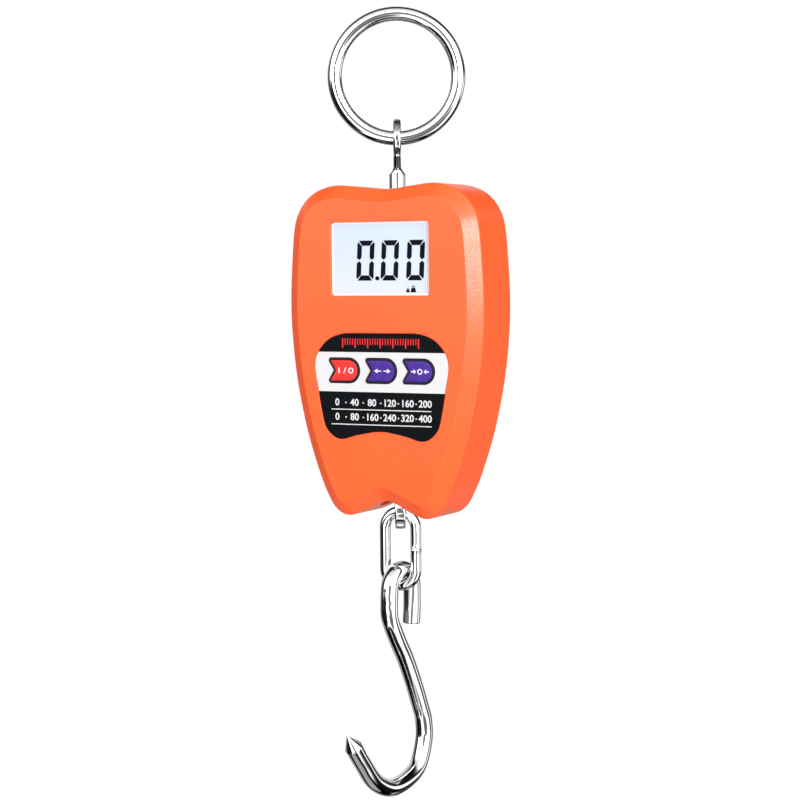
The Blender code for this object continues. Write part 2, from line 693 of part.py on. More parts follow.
def make_board():
    board = box("main_board", (-BOARD_HALF_WIDTH, BOARD_FRONT_Y, BOARD_BOTTOM_Z),
                (BOARD_HALF_WIDTH, BOARD_REAR_Y, BOARD_TOP_Z), "board")
    for i, (x, z) in enumerate(BOARD_SCREW_PLACES):
        subtract(board, rod(f"board_hole_{i}", 1.4 * MM, (x, BOARD_FRONT_Y - MM, z), (x, BOARD_REAR_Y + MM, z),
                            group=CUTTER_NAME, sides=12))
        profile = (
            (0, 1.6 * MM), (1.7 * MM, 1.3 * MM), (2.2 * MM, 0.6 * MM), (2.2 * MM, 0),
            (0.9 * MM, 0), (0.9 * MM, -4.2 * MM), (0, -4.6 * MM),
        )
        screw = turned(f"board_screw_{i + 1}", profile, "steel", (x, BOARD_REAR_Y + 0.1 * MM, z), 12)
        screw.rotation_euler = (-math.pi / 2, 0, 0)
    lowest = BOARD_FRONT_Y - 0.1 * MM
    box("controller_chip", (-5 * MM, lowest - 1.4 * MM, -111 * MM), (5 * MM, lowest, -103 * MM), "black_plastic")
    box("amplifier_chip", (9 * MM, lowest - 1.2 * MM, -110 * MM), (14 * MM, lowest, -105 * MM), "black_plastic")
    rod("buzzer", 3.6 * MM, (-12.5 * MM, lowest, -107.5 * MM), (-12.5 * MM, lowest - 2.4 * MM, -107.5 * MM),
        "black_plastic", sides=16)


def make_wires():
    """Leads from the battery bay and the load cell up to the back of the board, through millimetre points."""
    battery_route = ((23.0, 9.0, -127.6), (23.6, 8.6, -126.0), (25.0, 6.0, -123.6), (25.4, 1.0, -120.5),
                     (23.8, -3.4, -117.0), (21.0, -5.0, -113.6), (18.0, -5.5, -111.4))
    cell_route = ((17.6, 1.0, -96.0), (19.4, 1.2, -95.6), (21.6, 0.6, -94.2), (22.6, -1.6, -92.0),
                  (21.6, -4.0, -89.6), (19.8, -5.4, -87.6))
    lead("battery_lead_red", battery_route, 1, "wire_red")
    lead("battery_lead_black", battery_route, -1, "wire_black")
    lead("load_cell_cable", cell_route, 1, "cable_grey")


def lead(name, route, side, look):
    through = [Vector((side * x, y, z)) * MM for x, y, z in route]
    steps = (len(through) - 1) * 2
    wire(name, [spline_point(through, i / 2) for i in range(steps + 1)], 0.55 * MM, look, 1)


# ---------------------------------------------------------------- load line

def make_yoke(name, top_z, stem_end_up):
    """A square steel frame round the eye's nut, bolted to the load cell on its other side."""
    low = top_z - YOKE_HEIGHT
    yoke = box(name, (-YOKE_HALF_WIDTH, -YOKE_HALF_DEPTH, low), (YOKE_HALF_WIDTH, YOKE_HALF_DEPTH, top_z),
               "steel")
    window = box(name + "_window", (-YOKE_HALF_WIDTH + 2.8 * MM, -YOKE_HALF_DEPTH - MM, low + YOKE_PLATE),
                 (YOKE_HALF_WIDTH - 2.8 * MM, YOKE_HALF_DEPTH + MM, top_z - YOKE_PLATE), group=CUTTER_NAME)
    swivel_end = top_z if stem_end_up else low
    bolt_end = low if stem_end_up else top_z
    reach = YOKE_PLATE + MM
    stem = rod(name + "_stem_hole", SHANK_RADIUS + GAP, (0, 0, swivel_end - reach), (0, 0, swivel_end + reach),
               group=CUTTER_NAME)
    bolt = rod(name + "_bolt_hole", 2.8 * MM, (0, 0, bolt_end - reach), (0, 0, bolt_end + reach), group=CUTTER_NAME)
    subtract(yoke, window, stem, bolt)


def hex_nut(name, low_z, look):
    high_z = low_z + LOCK_NUT_HEIGHT
    nut = rod(name, 4.4 * MM, (0, 0, low_z), (0, 0, high_z), look, sides=6)
    hole = rod(name + "_hole", THREAD_RADIUS + GAP, (0, 0, low_z - MM), (0, 0, high_z + MM), group=CUTTER_NAME)
    subtract(nut, hole)


def yoke_bolt(name, seat_z, points_down):
    """A cap screw whose head sits inside the yoke and whose stem runs into the load cell."""
    head = YOKE_BOLT_HEAD
    stem = YOKE_PLATE + GAP + YOKE_BOLT_DEPTH
    flip = -1 if points_down else 1
    bolt = rod(name, 4.0 * MM, (0, 0, seat_z - flip * GAP), (0, 0, seat_z - flip * (GAP + head)), "steel", sides=20)
    shaft = rod(name + "_shaft", 2.4 * MM, (0, 0, seat_z - flip * (GAP + MM)), (0, 0, seat_z + flip * stem),
                group=CUTTER_NAME, sides=16)
    socket = rod(name + "_socket", 2.2 * MM, (0, 0, seat_z - flip * (GAP + head - 1.4 * MM)),
                 (0, 0, seat_z - flip * (GAP + head + MM)), group=CUTTER_NAME, sides=6)
    join(bolt, shaft)
    subtract(bolt, socket)


def make_load_cell():
    """An S-shaped beam: two side slots and a paired bore leave thin webs that the gauges sit on."""
    low = CELL_TOP_Z - CELL_HEIGHT
    cell = box("load_cell", (-CELL_HALF_WIDTH, -CELL_HALF_DEPTH, low), (CELL_HALF_WIDTH, CELL_HALF_DEPTH, CELL_TOP_Z),
               "cell_metal")
    middle = (CELL_TOP_Z + low) / 2
    depth = CELL_HALF_DEPTH + MM
    slot = 0.8 * MM
    upper = box("cell_upper_slot", (-CELL_HALF_WIDTH - MM, -depth, middle + 6.5 * MM - slot),
                (10 * MM, depth, middle + 6.5 * MM + slot), group=CUTTER_NAME)
    lower = box("cell_lower_slot", (-10 * MM, -depth, middle - 6.5 * MM - slot),
                (CELL_HALF_WIDTH + MM, depth, middle - 6.5 * MM + slot), group=CUTTER_NAME)
    subtract(cell, upper, lower)
    for i, x in enumerate((-4.5 * MM, 4.5 * MM)):
        subtract(cell, rod(f"cell_bore_{i}", 3.6 * MM, (x, -depth, middle), (x, depth, middle), group=CUTTER_NAME))
    bridge = box("cell_bore_bridge", (-4.5 * MM, -depth, middle - MM), (4.5 * MM, depth, middle + MM), group=CUTTER_NAME)
    top_hole = rod("cell_top_hole", 2.7 * MM, (0, 0, CELL_TOP_Z - 3.7 * MM), (0, 0, CELL_TOP_Z + MM), group=CUTTER_NAME)
    bottom_hole = rod("cell_bottom_hole", 2.7 * MM, (0, 0, low - MM), (0, 0, low + 3.7 * MM), group=CUTTER_NAME)
    subtract(cell, bridge, top_hole, bottom_hole)
    for i, side in enumerate((-1, 1)):
        box(f"strain_gauge_{i + 1}", (side * 4.5 * MM - 2.5 * MM, CELL_HALF_DEPTH + 0.1 * MM, middle + 4.0 * MM),
            (side * 4.5 * MM + 2.5 * MM, CELL_HALF_DEPTH + 0.4 * MM, middle + 5.4 * MM), "gauge")


def make_load_line():
    turned("top_bush", washer_profile(SHANK_RADIUS + 0.2 * MM, 5.0 * MM, 2.8 * MM), "black_plastic",
           (0, 0, TOP_YOKE_Z + GAP))
    make_yoke("top_yoke", TOP_YOKE_Z, True)
    make_yoke("bottom_yoke", BOTTOM_YOKE_Z, False)
    inside_top = TOP_YOKE_Z - YOKE_PLATE
    inside_low = BOTTOM_YOKE_Z - YOKE_HEIGHT + YOKE_PLATE
    washer = washer_profile(THREAD_RADIUS + GAP, 4.4 * MM, THRUST_WASHER)
    turned("top_thrust_washer", washer, "brass", (0, 0, inside_top - GAP - THRUST_WASHER))
    turned("bottom_thrust_washer", washer, "brass", (0, 0, inside_low + GAP))
    washer_and_gaps = THRUST_WASHER + 2 * GAP
    hex_nut("top_lock_nut", inside_top - washer_and_gaps - LOCK_NUT_HEIGHT, "steel")
    hex_nut("bottom_lock_nut", inside_low + washer_and_gaps, "steel")
    yoke_bolt("top_yoke_bolt", TOP_YOKE_Z - YOKE_HEIGHT + YOKE_PLATE, True)
    yoke_bolt("bottom_yoke_bolt", BOTTOM_YOKE_Z - YOKE_PLATE, False)
    make_load_cell()


# ---------------------------------------------------------------- batteries

def make_battery_bay():
    tray = box("battery_tray", (-BAY_HALF_WIDTH, BAY_FRONT_Y, BAY_BOTTOM_Z), (BAY_HALF_WIDTH, BAY_REAR_Y, BAY_TOP_Z),
               "black_plastic")
    pocket = box("tray_pocket", (-BAY_HALF_WIDTH + BAY_WALL, BAY_FRONT_Y + 1.1 * MM, BAY_BOTTOM_Z + BAY_WALL),
                 (BAY_HALF_WIDTH - BAY_WALL, BAY_REAR_Y + MM, BAY_TOP_Z - BAY_WALL), group=CUTTER_NAME)
    notch = box("tray_notch", (-3.8 * MM, 0, BAY_BOTTOM_Z - MM), (3.8 * MM, 3.6 * MM, BAY_TOP_Z + MM),
                group=CUTTER_NAME)
    subtract(tray, pocket, notch)
    for i, z in enumerate(battery_heights()):
        side = 1 if i == 0 else -1
        make_battery(f"battery_{i + 1}", z, side)
        make_contact_spring(f"contact_spring_{i + 1}", z, -side)
    margin = BAY_WALL + 1.5 * MM
    for name, side in (("contact_plate_right", 1), ("contact_plate_left", -1)):
        inner, outer = sorted((side * CONTACT_X, side * (CONTACT_X + CONTACT_THICKNESS)))
        box(name, (inner, BATTERY_Y - 3.5 * MM, BAY_BOTTOM_Z + margin), (outer, BATTERY_Y + 3.5 * MM, BAY_TOP_Z - margin),
            "steel")


def battery_heights():
    middle = (BAY_TOP_Z + BAY_BOTTOM_Z) / 2
    apart = BATTERY_RADIUS + GAP / 2
    return (middle + apart, middle - apart)


def make_battery(name, z, side):
    """A round cell lying along X, with its raised contact towards the given side."""
    radius = BATTERY_RADIUS
    length = BATTERY_LENGTH
    profile = (
        (0, length), (1.9 * MM, length), (1.9 * MM, length - 0.9 * MM), (radius - 0.4 * MM, length - 0.9 * MM),
        (radius, length - 1.3 * MM), (radius, 0.4 * MM), (radius - 0.4 * MM, 0), (0, 0),
    )
    flat_end = BATTERY_LENGTH - CONTACT_X + GAP / 2
    cell = turned(name, profile, "battery", (-side * flat_end, BATTERY_Y, z), 24)
    cell.rotation_euler = (0, side * math.pi / 2, 0)


def make_contact_spring(name, z, side):
    """A small conical coil between a cell's flat end and its contact plate."""
    turns = 2.5
    count = 26
    wire_radius = 0.24 * MM
    start = BATTERY_LENGTH - CONTACT_X + 2 * wire_radius
    length = CONTACT_X - 2 * wire_radius - start
    points = []
    for i in range(count + 1):
        share = i / count
        angle = 2 * math.pi * turns * share
        radius = (1.6 + 1.6 * share) * MM
        points.append((side * (start + length * share), BATTERY_Y + radius * math.cos(angle), z + radius * math.sin(angle)))
    wire(name, points, wire_radius, "steel", 1)


def make_battery_cover():
    cover = box("battery_cover", (-BAY_HALF_WIDTH - COVER_EDGE, CASE_REAR_Y - COVER_THICKNESS, BAY_BOTTOM_Z - COVER_EDGE),
                (BAY_HALF_WIDTH + COVER_EDGE, CASE_REAR_Y, BAY_TOP_Z + COVER_EDGE), "case_plastic")
    tab_top = BAY_TOP_Z - BAY_LEDGE - GAP
    tab = box("cover_tab", (-4 * MM, CASE_REAR_Y - 2.2 * MM, tab_top - 1.4 * MM),
              (4 * MM, CASE_REAR_Y - 0.6 * MM, tab_top), group=CUTTER_NAME)
    join(cover, tab)
    for i in range(3):
        z = BAY_TOP_Z - (2.5 + 1.8 * i) * MM
        rib = box(f"cover_rib_{i}", (-6 * MM, CASE_REAR_Y - 0.5 * MM, z - 0.35 * MM),
                  (6 * MM, CASE_REAR_Y + MM, z + 0.35 * MM), group=CUTTER_NAME)
        subtract(cover, rib)


# ---------------------------------------------------------------- lower eye, link and hook

def make_bottom_eye():
    top = BOTTOM_YOKE_Z - YOKE_HEIGHT + YOKE_PLATE
    stem_top = top + swivel_stack()
    shoulder = top - 0.5 * MM
    neck_z = BOTTOM_EYE_Z + BOTTOM_EYE_LOOP_RADIUS
    sections = [
        oval(THREAD_RADIUS, THREAD_RADIUS, stem_top),
        oval(THREAD_RADIUS, THREAD_RADIUS, shoulder + 0.4 * MM),
        oval(2.9 * MM, 2.9 * MM, shoulder - 0.1 * MM),
        oval(2.9 * MM, 2.9 * MM, neck_z + 3.2 * MM),
        oval(BOTTOM_EYE_WIRE_RADIUS, 2.9 * MM, neck_z + 1.2 * MM),
        oval(BOTTOM_EYE_WIRE_RADIUS, 2.6 * MM, neck_z - 0.4 * MM),
    ]
    eye = loft("bottom_eye_bolt", sections, "chrome")
    eye.rotation_euler = (0, 0, RING_TURN)
    bpy.ops.mesh.primitive_torus_add(
        major_radius=BOTTOM_EYE_LOOP_RADIUS, minor_radius=BOTTOM_EYE_WIRE_RADIUS,
        major_segments=28, minor_segments=12,
        location=(0, 0, BOTTOM_EYE_Z), rotation=(0, math.pi / 2, RING_TURN),
    )
    loop = bpy.context.object
    loop.name = "bottom_eye_loop"
    move_to_cutters(loop)
    join(eye, loop)
    smooth(eye, 40)


def make_link():
    """A straight-sided link, welded shut."""
    half_straight = (LINK_TOP_Z - LINK_BOTTOM_Z) / 2 - LINK_BEND_RADIUS
    points = []
    for end, centre in ((1, half_straight), (-1, -half_straight)):
        for step in range(15):
            angle = math.pi * step / 14
            across = end * LINK_BEND_RADIUS * math.cos(angle)
            points.append((across, 0, centre + end * LINK_BEND_RADIUS * math.sin(angle)))
    wire("chain_link", points, LINK_WIRE_RADIUS, "chrome", 3, True,
         (0, 0, (LINK_TOP_Z + LINK_BOTTOM_Z) / 2), LINK_TURN)


def hook_path():
    """The S hook's middle line in its own plane, from the free end round the loop and bowl to the point."""
    loop = HOOK_LOOP_RADIUS
    path = [Vector((0.91 * loop, -20.6 * MM)), Vector((loop, -14 * MM))]
    for step in range(11):
        angle = math.pi * step / 10
        path.append(Vector((loop * math.cos(angle), loop * math.sin(angle) - loop)))
    shank_and_bowl = [path[-1], *[Vector((across, height)) * MM for across, height in HOOK_SHAPE]]
    samples = 3
    for step in range(1, (len(shank_and_bowl) - 1) * samples + 1):
        path.append(spline_point(shank_and_bowl, step / samples))
    return [Vector((p.x, 0, p.y)) for p in path]


def make_hook():
    path = hook_path()
    hook = wire("s_hook", path, HOOK_WIRE_RADIUS, "chrome", 3, False, (0, 0, HOOK_TOP_Z), HOOK_TURN)
    hook = solid_from(hook, "chrome")
    tip = path[-1]
    along = (path[-1] - path[-2]).normalized()
    cone = rod("hook_point", HOOK_WIRE_RADIUS, tip - along * 0.5 * MM, tip + along * 6.3 * MM, None,
               CUTTER_NAME, 12, 0.3 * MM)
    cone.matrix_world = hook.matrix_world @ Matrix.Translation(tip - along * 0.5 * MM)
    join(hook, cone)
    smooth(hook, 50)


def main():
    clear_scene()
    make_ring()
    make_top_eye()
    make_front_shell()
    make_rear_shell()
    make_case_seal()
    make_case_screws()
    make_display()
    make_label()
    make_keys()
    make_board()
    make_wires()
    make_load_line()
    make_battery_bay()
    make_battery_cover()
    make_bottom_eye()
    make_link()
    make_hook()


main()
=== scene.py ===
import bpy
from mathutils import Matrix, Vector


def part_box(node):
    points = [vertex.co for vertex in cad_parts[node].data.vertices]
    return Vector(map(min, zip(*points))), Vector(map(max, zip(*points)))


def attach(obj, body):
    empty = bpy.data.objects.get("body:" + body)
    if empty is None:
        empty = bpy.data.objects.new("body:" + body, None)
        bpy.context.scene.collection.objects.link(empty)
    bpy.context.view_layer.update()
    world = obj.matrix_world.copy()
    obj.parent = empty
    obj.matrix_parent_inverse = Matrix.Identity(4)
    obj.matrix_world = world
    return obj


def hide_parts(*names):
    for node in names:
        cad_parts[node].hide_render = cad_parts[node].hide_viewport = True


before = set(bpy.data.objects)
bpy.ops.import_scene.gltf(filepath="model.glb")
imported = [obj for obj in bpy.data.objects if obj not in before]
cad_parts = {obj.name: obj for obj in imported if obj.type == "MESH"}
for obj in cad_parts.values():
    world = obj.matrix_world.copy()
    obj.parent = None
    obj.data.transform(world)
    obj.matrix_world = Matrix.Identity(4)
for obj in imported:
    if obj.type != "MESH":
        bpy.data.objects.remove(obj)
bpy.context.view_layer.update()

import math

import bmesh
import bpy
from mathutils import Matrix, Vector

MM = 0.001

# ---------------------------------------------------------------- sizes, as in the CAD

CAMERA_AZIMUTH = math.radians(28)
CAMERA_ELEVATION = math.radians(3.7)
CAMERA_DISTANCE = 0.733
CAMERA_ROLL = math.radians(-0.5)
CAMERA_LENS = 91.3
CAMERA_TARGET = Vector((0, 0, -0.13556))
CAMERA_AIM_RIGHT = 0.25 * MM

RING_OUTER_RADIUS = 24.7 * MM
RING_WIRE_RADIUS = 2.6 * MM
RING_TURN = math.radians(28)

CASE_LOW_Z = -177.0 * MM
CASE_FRONT_Y = -13.9 * MM
CASE_REAR_Y = 15.3 * MM
PARTING_Y = 2.2 * MM
PARTING_GAP = 0.14 * MM
WALL = 2.2 * MM
BEVEL_INSET = 4.9 * MM
BEVEL_DEPTH = 3.8 * MM
REAR_INSET = 3.6 * MM
REAR_DEPTH = 3.0 * MM

DISPLAY_WIDTH = 39.4 * MM
DISPLAY_HEIGHT = 26.1 * MM
DISPLAY_Z = -84.2 * MM

LABEL_TOP_Z = -111.1 * MM
BAND_TOP_Z = -117.8 * MM
BAND_LOW_Z = -132.0 * MM
LABEL_FRONT_Y = -14.05 * MM

KEY_WIDTH = 13.0 * MM
KEY_HEIGHT = 8.8 * MM
KEY_NOTCH = 2.6 * MM
KEY_BOW = 4.3 * MM
KEY_PITCH = 15.0 * MM
KEY_TIP_RADIUS = 0.8 * MM
KEY_Z = -124.4 * MM
KEY_CLEARANCE = 0.25 * MM
KEY_FRONT_Y = -14.25 * MM

CASE_OUTLINE = (
    (0, 117.0), (9.5, 117.9), (19.4, 118.8), (26.6, 117.3), (31.6, 114.3), (35.3, 109.5), (37.2, 103.8),
    (38.3, 92.5), (39.0, 78.0), (38.6, 65.0), (36.7, 48.6), (33.0, 31.4), (28.6, 17.6), (24.7, 8.2),
    (20.8, 2.2), (15.4, 0.0), (8.0, 2.6), (0, 5.8),
)
LABEL_OUTLINE = (
    (0, 0), (9.0, 0), (15.0, -0.2), (21.0, -2.2), (25.4, -6.8), (26.8, -11.8), (25.6, -19.5), (24.2, -27.5),
    (22.2, -34.2), (17.0, -37.9), (9.5, -36.3), (0, -34.9),
)

BOTTOM_EYE_RADIUS = 4.85 * MM
BOTTOM_EYE_HALF = 1.95 * MM
BOTTOM_EYE_Z = -175.6 * MM
LINK_WIRE_RADIUS = 2.0 * MM
LINK_BEND_RADIUS = 5.95 * MM
LINK_TURN = math.radians(6)
LINK_TOP_Z = -176.0 * MM
LINK_BOTTOM_Z = -203.0 * MM
HOOK_WIRE_RADIUS = 3.25 * MM
HOOK_LOOP_RADIUS = 6.9 * MM
HOOK_TURN = math.radians(82)
HOOK_TOP_Z = LINK_BOTTOM_Z + 5.75 * MM
HOOK_SHAPE = (
    (-7.2, -11.0), (-6.8, -17.0), (-2.9, -24.6), (2.0, -32.4), (6.6, -41.2), (11.0, -51.0), (13.6, -58.0),
    (13.5, -66.0), (8.2, -75.4), (-5.6, -79.0), (-16.6, -74.8), (-24.2, -66.2), (-29.2, -59.8),
)


# ---------------------------------------------------------------- camera, world and lights

def aim_direction(azimuth, elevation):
    """Unit vector from the object towards a viewer at these angles; 0 is straight in front of the display."""
    flat = math.cos(elevation)
    return Vector((math.sin(azimuth) * flat, -math.cos(azimuth) * flat, math.sin(elevation)))


def look_at(obj, target, roll=0.0):
    """Turns a camera or a lamp towards a point."""
    turn = (target - obj.location).to_track_quat("-Z", "Y").to_matrix() @ Matrix.Rotation(roll, 3, "Z")
    obj.rotation_euler = turn.to_euler()


def add_object(name, data):
    obj = bpy.data.objects.new(name, data)
    bpy.context.scene.collection.objects.link(obj)
    return obj


def make_camera():
    camera = add_object("camera", bpy.data.cameras.new("camera"))
    camera.data.lens = CAMERA_LENS
    camera.data.sensor_width = 36.0
    camera.data.clip_start = 0.01
    right = Vector((math.cos(CAMERA_AZIMUTH), math.sin(CAMERA_AZIMUTH), 0))
    target = CAMERA_TARGET + right * CAMERA_AIM_RIGHT
    camera.location = target + CAMERA_DISTANCE * aim_direction(CAMERA_AZIMUTH, CAMERA_ELEVATION)
    look_at(camera, target, CAMERA_ROLL)
    bpy.context.scene.camera = camera


def make_area_light(name, azimuth, elevation, distance, width, height, power):
    light = bpy.data.lights.new(name, "AREA")
    light.shape = "RECTANGLE"
    light.size = width
    light.size_y = height
    light.energy = power
    lamp = add_object(name, light)
    towards = aim_direction(math.radians(azimuth), math.radians(elevation))
    lamp.location = CAMERA_TARGET + distance * towards
    look_at(lamp, CAMERA_TARGET)
    return lamp


def hide_from_reflections(piece):
    """Keeps a piece or a lamp out of reflections: the bright metal shows only the tent and its cards."""
    piece.visible_glossy = False


# Lights as (degrees right of the display's front, elevation, distance, width, height, power)
SOFTBOX_RIGHT = (47.6, 13.0, 1.2, 0.18, 0.22, 6.3)
SOFTBOX_REAR = (208, 24, 1.5, 1.2, 1.0, 12)


def calculate(tree, operation, first, second=0.0):
    """The output of a Math node. Each value is a number or another node's output."""
    node = tree.nodes.new("ShaderNodeMath")
    node.operation = operation
    for socket, given in zip(node.inputs, (first, second)):
        if isinstance(given, (int, float)):
            socket.default_value = given
        else:
            tree.links.new(given, socket)
    return node.outputs["Value"]


def make_world():
    """A white tent with a dim ceiling, and a dark belt and cards that give bright metal its black lines."""
    world = bpy.data.worlds.new("studio")
    world.use_nodes = True
    tree = world.node_tree
    tree.nodes.clear()
    place = tree.nodes.new("ShaderNodeTexCoord").outputs["Generated"]
    up = Vector((0, 0, 1))
    value = world_ramp(tree, place, aim_direction(CAMERA_AZIMUTH, CAMERA_ELEVATION), BELT_STOPS)
    value = calculate(tree, "MULTIPLY", value, world_ramp(tree, place, up, CEILING_STOPS))
    for card in DARK_CARDS:
        value = calculate(tree, "MULTIPLY", value, world_card(tree, place, *card, 1.0))
    value = calculate(tree, "MAXIMUM", value, world_ramp(tree, place, up, GROUND_STOPS))
    value = calculate(tree, "MAXIMUM", value, world_card(tree, place, *WHITE_CARD, 0.0))
    lit = tree.nodes.new("ShaderNodeBackground")
    tree.links.new(value, lit.inputs["Strength"])
    seen = tree.nodes.new("ShaderNodeBackground")
    seen.inputs["Strength"].default_value = BACKDROP_BRIGHTNESS
    for background in (lit, seen):
        background.inputs["Color"].default_value = (1, 1, 1, 1)
    path = tree.nodes.new("ShaderNodeLightPath")
    mix = tree.nodes.new("ShaderNodeMixShader")
    tree.links.new(path.outputs["Is Camera Ray"], mix.inputs["Fac"])
    tree.links.new(lit.outputs["Background"], mix.inputs[1])
    tree.links.new(seen.outputs["Background"], mix.inputs[2])
    out = tree.nodes.new("ShaderNodeOutputWorld")
    tree.links.new(mix.outputs["Shader"], out.inputs["Surface"])
    bpy.context.scene.world = world


def world_card(tree, place, azimuth, elevation, radius, inside, outside):
    """A round card with soft edges: one value inside it and another round it."""
    towards = aim_direction(CAMERA_AZIMUTH + math.radians(azimuth), math.radians(elevation))
    inner = math.cos(math.radians(radius))
    outer = math.cos(math.radians(radius + CARD_EDGE))
    stops = ((-1.0, outside), (outer, outside), (inner, inside), (1.0, inside))
    return world_ramp(tree, place, towards, stops)


def world_ramp(tree, place, direction, stops):
    """Brightness by the cosine of the angle from a direction, from stops of (cosine, brightness)."""
    towards = tree.nodes.new("ShaderNodeVectorMath")
    towards.operation = "DOT_PRODUCT"
    towards.inputs[1].default_value = direction
    tree.links.new(place, towards.inputs[0])
    share = tree.nodes.new("ShaderNodeMapRange")
    share.inputs["From Min"].default_value = -1
    tree.links.new(towards.outputs["Value"], share.inputs["Value"])
    ramp = tree.nodes.new("ShaderNodeValToRGB")
    for _ in stops[2:]:
        ramp.color_ramp.elements.new(0.5)
    most = max(value for _, value in stops)
    for element, (cosine, value) in zip(ramp.color_ramp.elements, stops):
        element.position = (cosine + 1) / 2
        element.color = (value / most, value / most, value / most, 1)
    tree.links.new(share.outputs["Result"], ramp.inputs["Fac"])
    return calculate(tree, "MULTIPLY", ramp.outputs["Color"], most)


# Brightness by cosine from the viewing axis: -1 is behind the object, 1 is behind the camera
BELT_STOPS = (
    (-1.0, 0.75), (-0.44, 0.6), (-0.36, 0.01), (0.0, 0.01), (0.12, 0.35), (0.26, 2.55), (1.0, 2.55),
)
# Share kept by cosine from straight up: a dark rim round the ground, white walls and a dim ceiling
CEILING_STOPS = (
    (-1.0, 0.0), (-0.80, 0.01), (-0.74, 0.6), (-0.3, 0.72), (0.05, 1.0), (0.5, 1.0), (0.8, 0.35), (1.0, 0.3),
)
# Dark cards round the object as (degrees right of the camera, elevation, radius, share of light kept)
DARK_CARDS = (
    (-62, -23, 25, 0.01),  # to the lower left: the metal's left edge lines
    (124, 2, 15, 0.05),  # mirrored by the case's right wall
    (149, 30, 15, 0.03),  # mirrored by its upper right corner
    (146, -38, 9, 0.01),  # low behind it: the hook's bend
    (0, 4, 14, 0.08),  # round the camera: the metal's middle line
    (20, -27, 19, 0.1),  # mirrored by the lower part of the case's right slope
    (74, 2, 20, 0.6),  # to the right: greys the metal's right side
    (-132, -4, 17, 0.3),  # mirrored by the case's left slope
    (122, -24, 13, 0.1),  # mirrored by the lower part of its right wall
)
# Width of a card's soft edge, in degrees
CARD_EDGE = 4
# A bright card to the right rear as (degrees right of the camera, elevation, radius, brightness)
WHITE_CARD = (105, -4, 9, 1.3)
# Brightness of the ground by cosine from straight up
GROUND_STOPS = ((-1.0, 0.42), (-0.94, 0.34), (-0.92, 0.0), (1.0, 0.0))
BACKDROP_BRIGHTNESS = 1.05


# ---------------------------------------------------------------- materials

class Look:
    """A node material under construction, with its Principled shader."""

    def __init__(self, name, colour, roughness, metallic=0.0, specular=0.5):
        self.material = bpy.data.materials.new(name)
        self.material.use_nodes = True
        self.tree = self.material.node_tree
        self.colour = colour
        self.normal = None
        self.shader = self.fill(self.tree.nodes["Principled BSDF"], {
            "Base Color": (*colour, 1), "Roughness": roughness, "Metallic": metallic,
            "Specular IOR Level": specular,
        })
        self.place = self.add("TexCoord", {}).outputs["Object"]

    def fill(self, node, inputs):
        """Sets a node's inputs, each to a value or to another node's output."""
        for name, given in inputs.items():
            if isinstance(given, bpy.types.NodeSocket):
                self.tree.links.new(given, node.inputs[name])
            else:
                node.inputs[name].default_value = given
        return node

    def add(self, kind, inputs):
        return self.fill(self.tree.nodes.new("ShaderNode" + kind), inputs)

    def noise(self, scale, detail, stretch=(1, 1, 1), roughness=0.5):
        """A noise value between 0 and 1, at so many cells per metre."""
        place = self.add("Mapping", {"Scale": stretch, "Vector": self.place}).outputs["Vector"]
        inputs = {"Scale": scale, "Detail": detail, "Roughness": roughness, "Vector": place}
        return self.add("TexNoise", inputs).outputs["Fac"]

    def cells(self, scale):
        """The distance to the middle of the nearest cell, with so many cells per metre."""
        return self.add("TexVoronoi", {"Scale": scale, "Vector": self.place}).outputs["Distance"]

    def along(self, axis):
        """The place along X, Y or Z, in metres."""
        return self.add("SeparateXYZ", {"Vector": self.place}).outputs[axis]

    def fit(self, value, low, high, from_low=0.35, from_high=0.65):
        """A value moved from one range to another, and kept inside it."""
        inputs = {"From Min": from_low, "From Max": from_high, "To Min": low, "To Max": high, "Value": value}
        return self.add("MapRange", inputs).outputs["Result"]

    def blend(self, value, first, second):
        """A colour between two, by a value between 0 and 1. Either may be a colour or another output."""
        mix = self.tree.nodes.new("ShaderNodeMix")
        mix.data_type = "RGBA"
        colours = [(*given, 1) if isinstance(given, tuple) else given for given in (first, second)]
        return self.fill(mix, {"Factor": value, 6: colours[0], 7: colours[1]}).outputs[2]

    def set_colour(self, output):
        self.fill(self.shader, {"Base Color": output})

    def set_roughness(self, output):
        self.fill(self.shader, {"Roughness": output})

    def bump(self, value, depth, strength=1.0):
        inputs = {"Strength": strength, "Distance": depth, "Height": value}
        if self.normal:
            inputs["Normal"] = self.normal
        self.normal = self.add("Bump", inputs).outputs["Normal"]
        self.fill(self.shader, {"Normal": self.normal})

    def vary(self, amount, scale):
        """Lightens and darkens the base colour a little, in soft patches."""
        darker = tuple(c * (1 - amount) for c in self.colour)
        lighter = tuple(min(1, c * (1 + amount)) for c in self.colour)
        self.set_colour(self.blend(self.fit(self.noise(scale, 3), 0, 1), darker, lighter))


def plastic(name, colour, roughness, grain=0.00002, scale=2600, specular=0.4):
    """Plain moulded plastic with a fine grain."""
    look = Look(name, colour, roughness, specular=specular)
    look.vary(0.035, 60)
    look.set_roughness(look.fit(look.noise(400, 2), roughness - 0.04, roughness + 0.05))
    look.bump(look.noise(scale, 2.5, roughness=0.6), grain)
    return look.material


CASE_COLOUR = (0.95, 0.107, 0.018)
CASE_ROUGHNESS = 0.31
CASE_SPECULAR = 0.6


def case_plastic():
    """Orange moulding with a fine spark-eroded grain."""
    look = Look("case_orange", CASE_COLOUR, CASE_ROUGHNESS, specular=CASE_SPECULAR)
    look.vary(0.03, 45)
    look.set_roughness(look.fit(look.noise(1300, 2), CASE_ROUGHNESS - 0.02, CASE_ROUGHNESS + 0.03))
    look.bump(look.noise(1700, 1.5), 0.00006)
    return look.material


CHROME_COLOUR = (0.90, 0.90, 0.91)


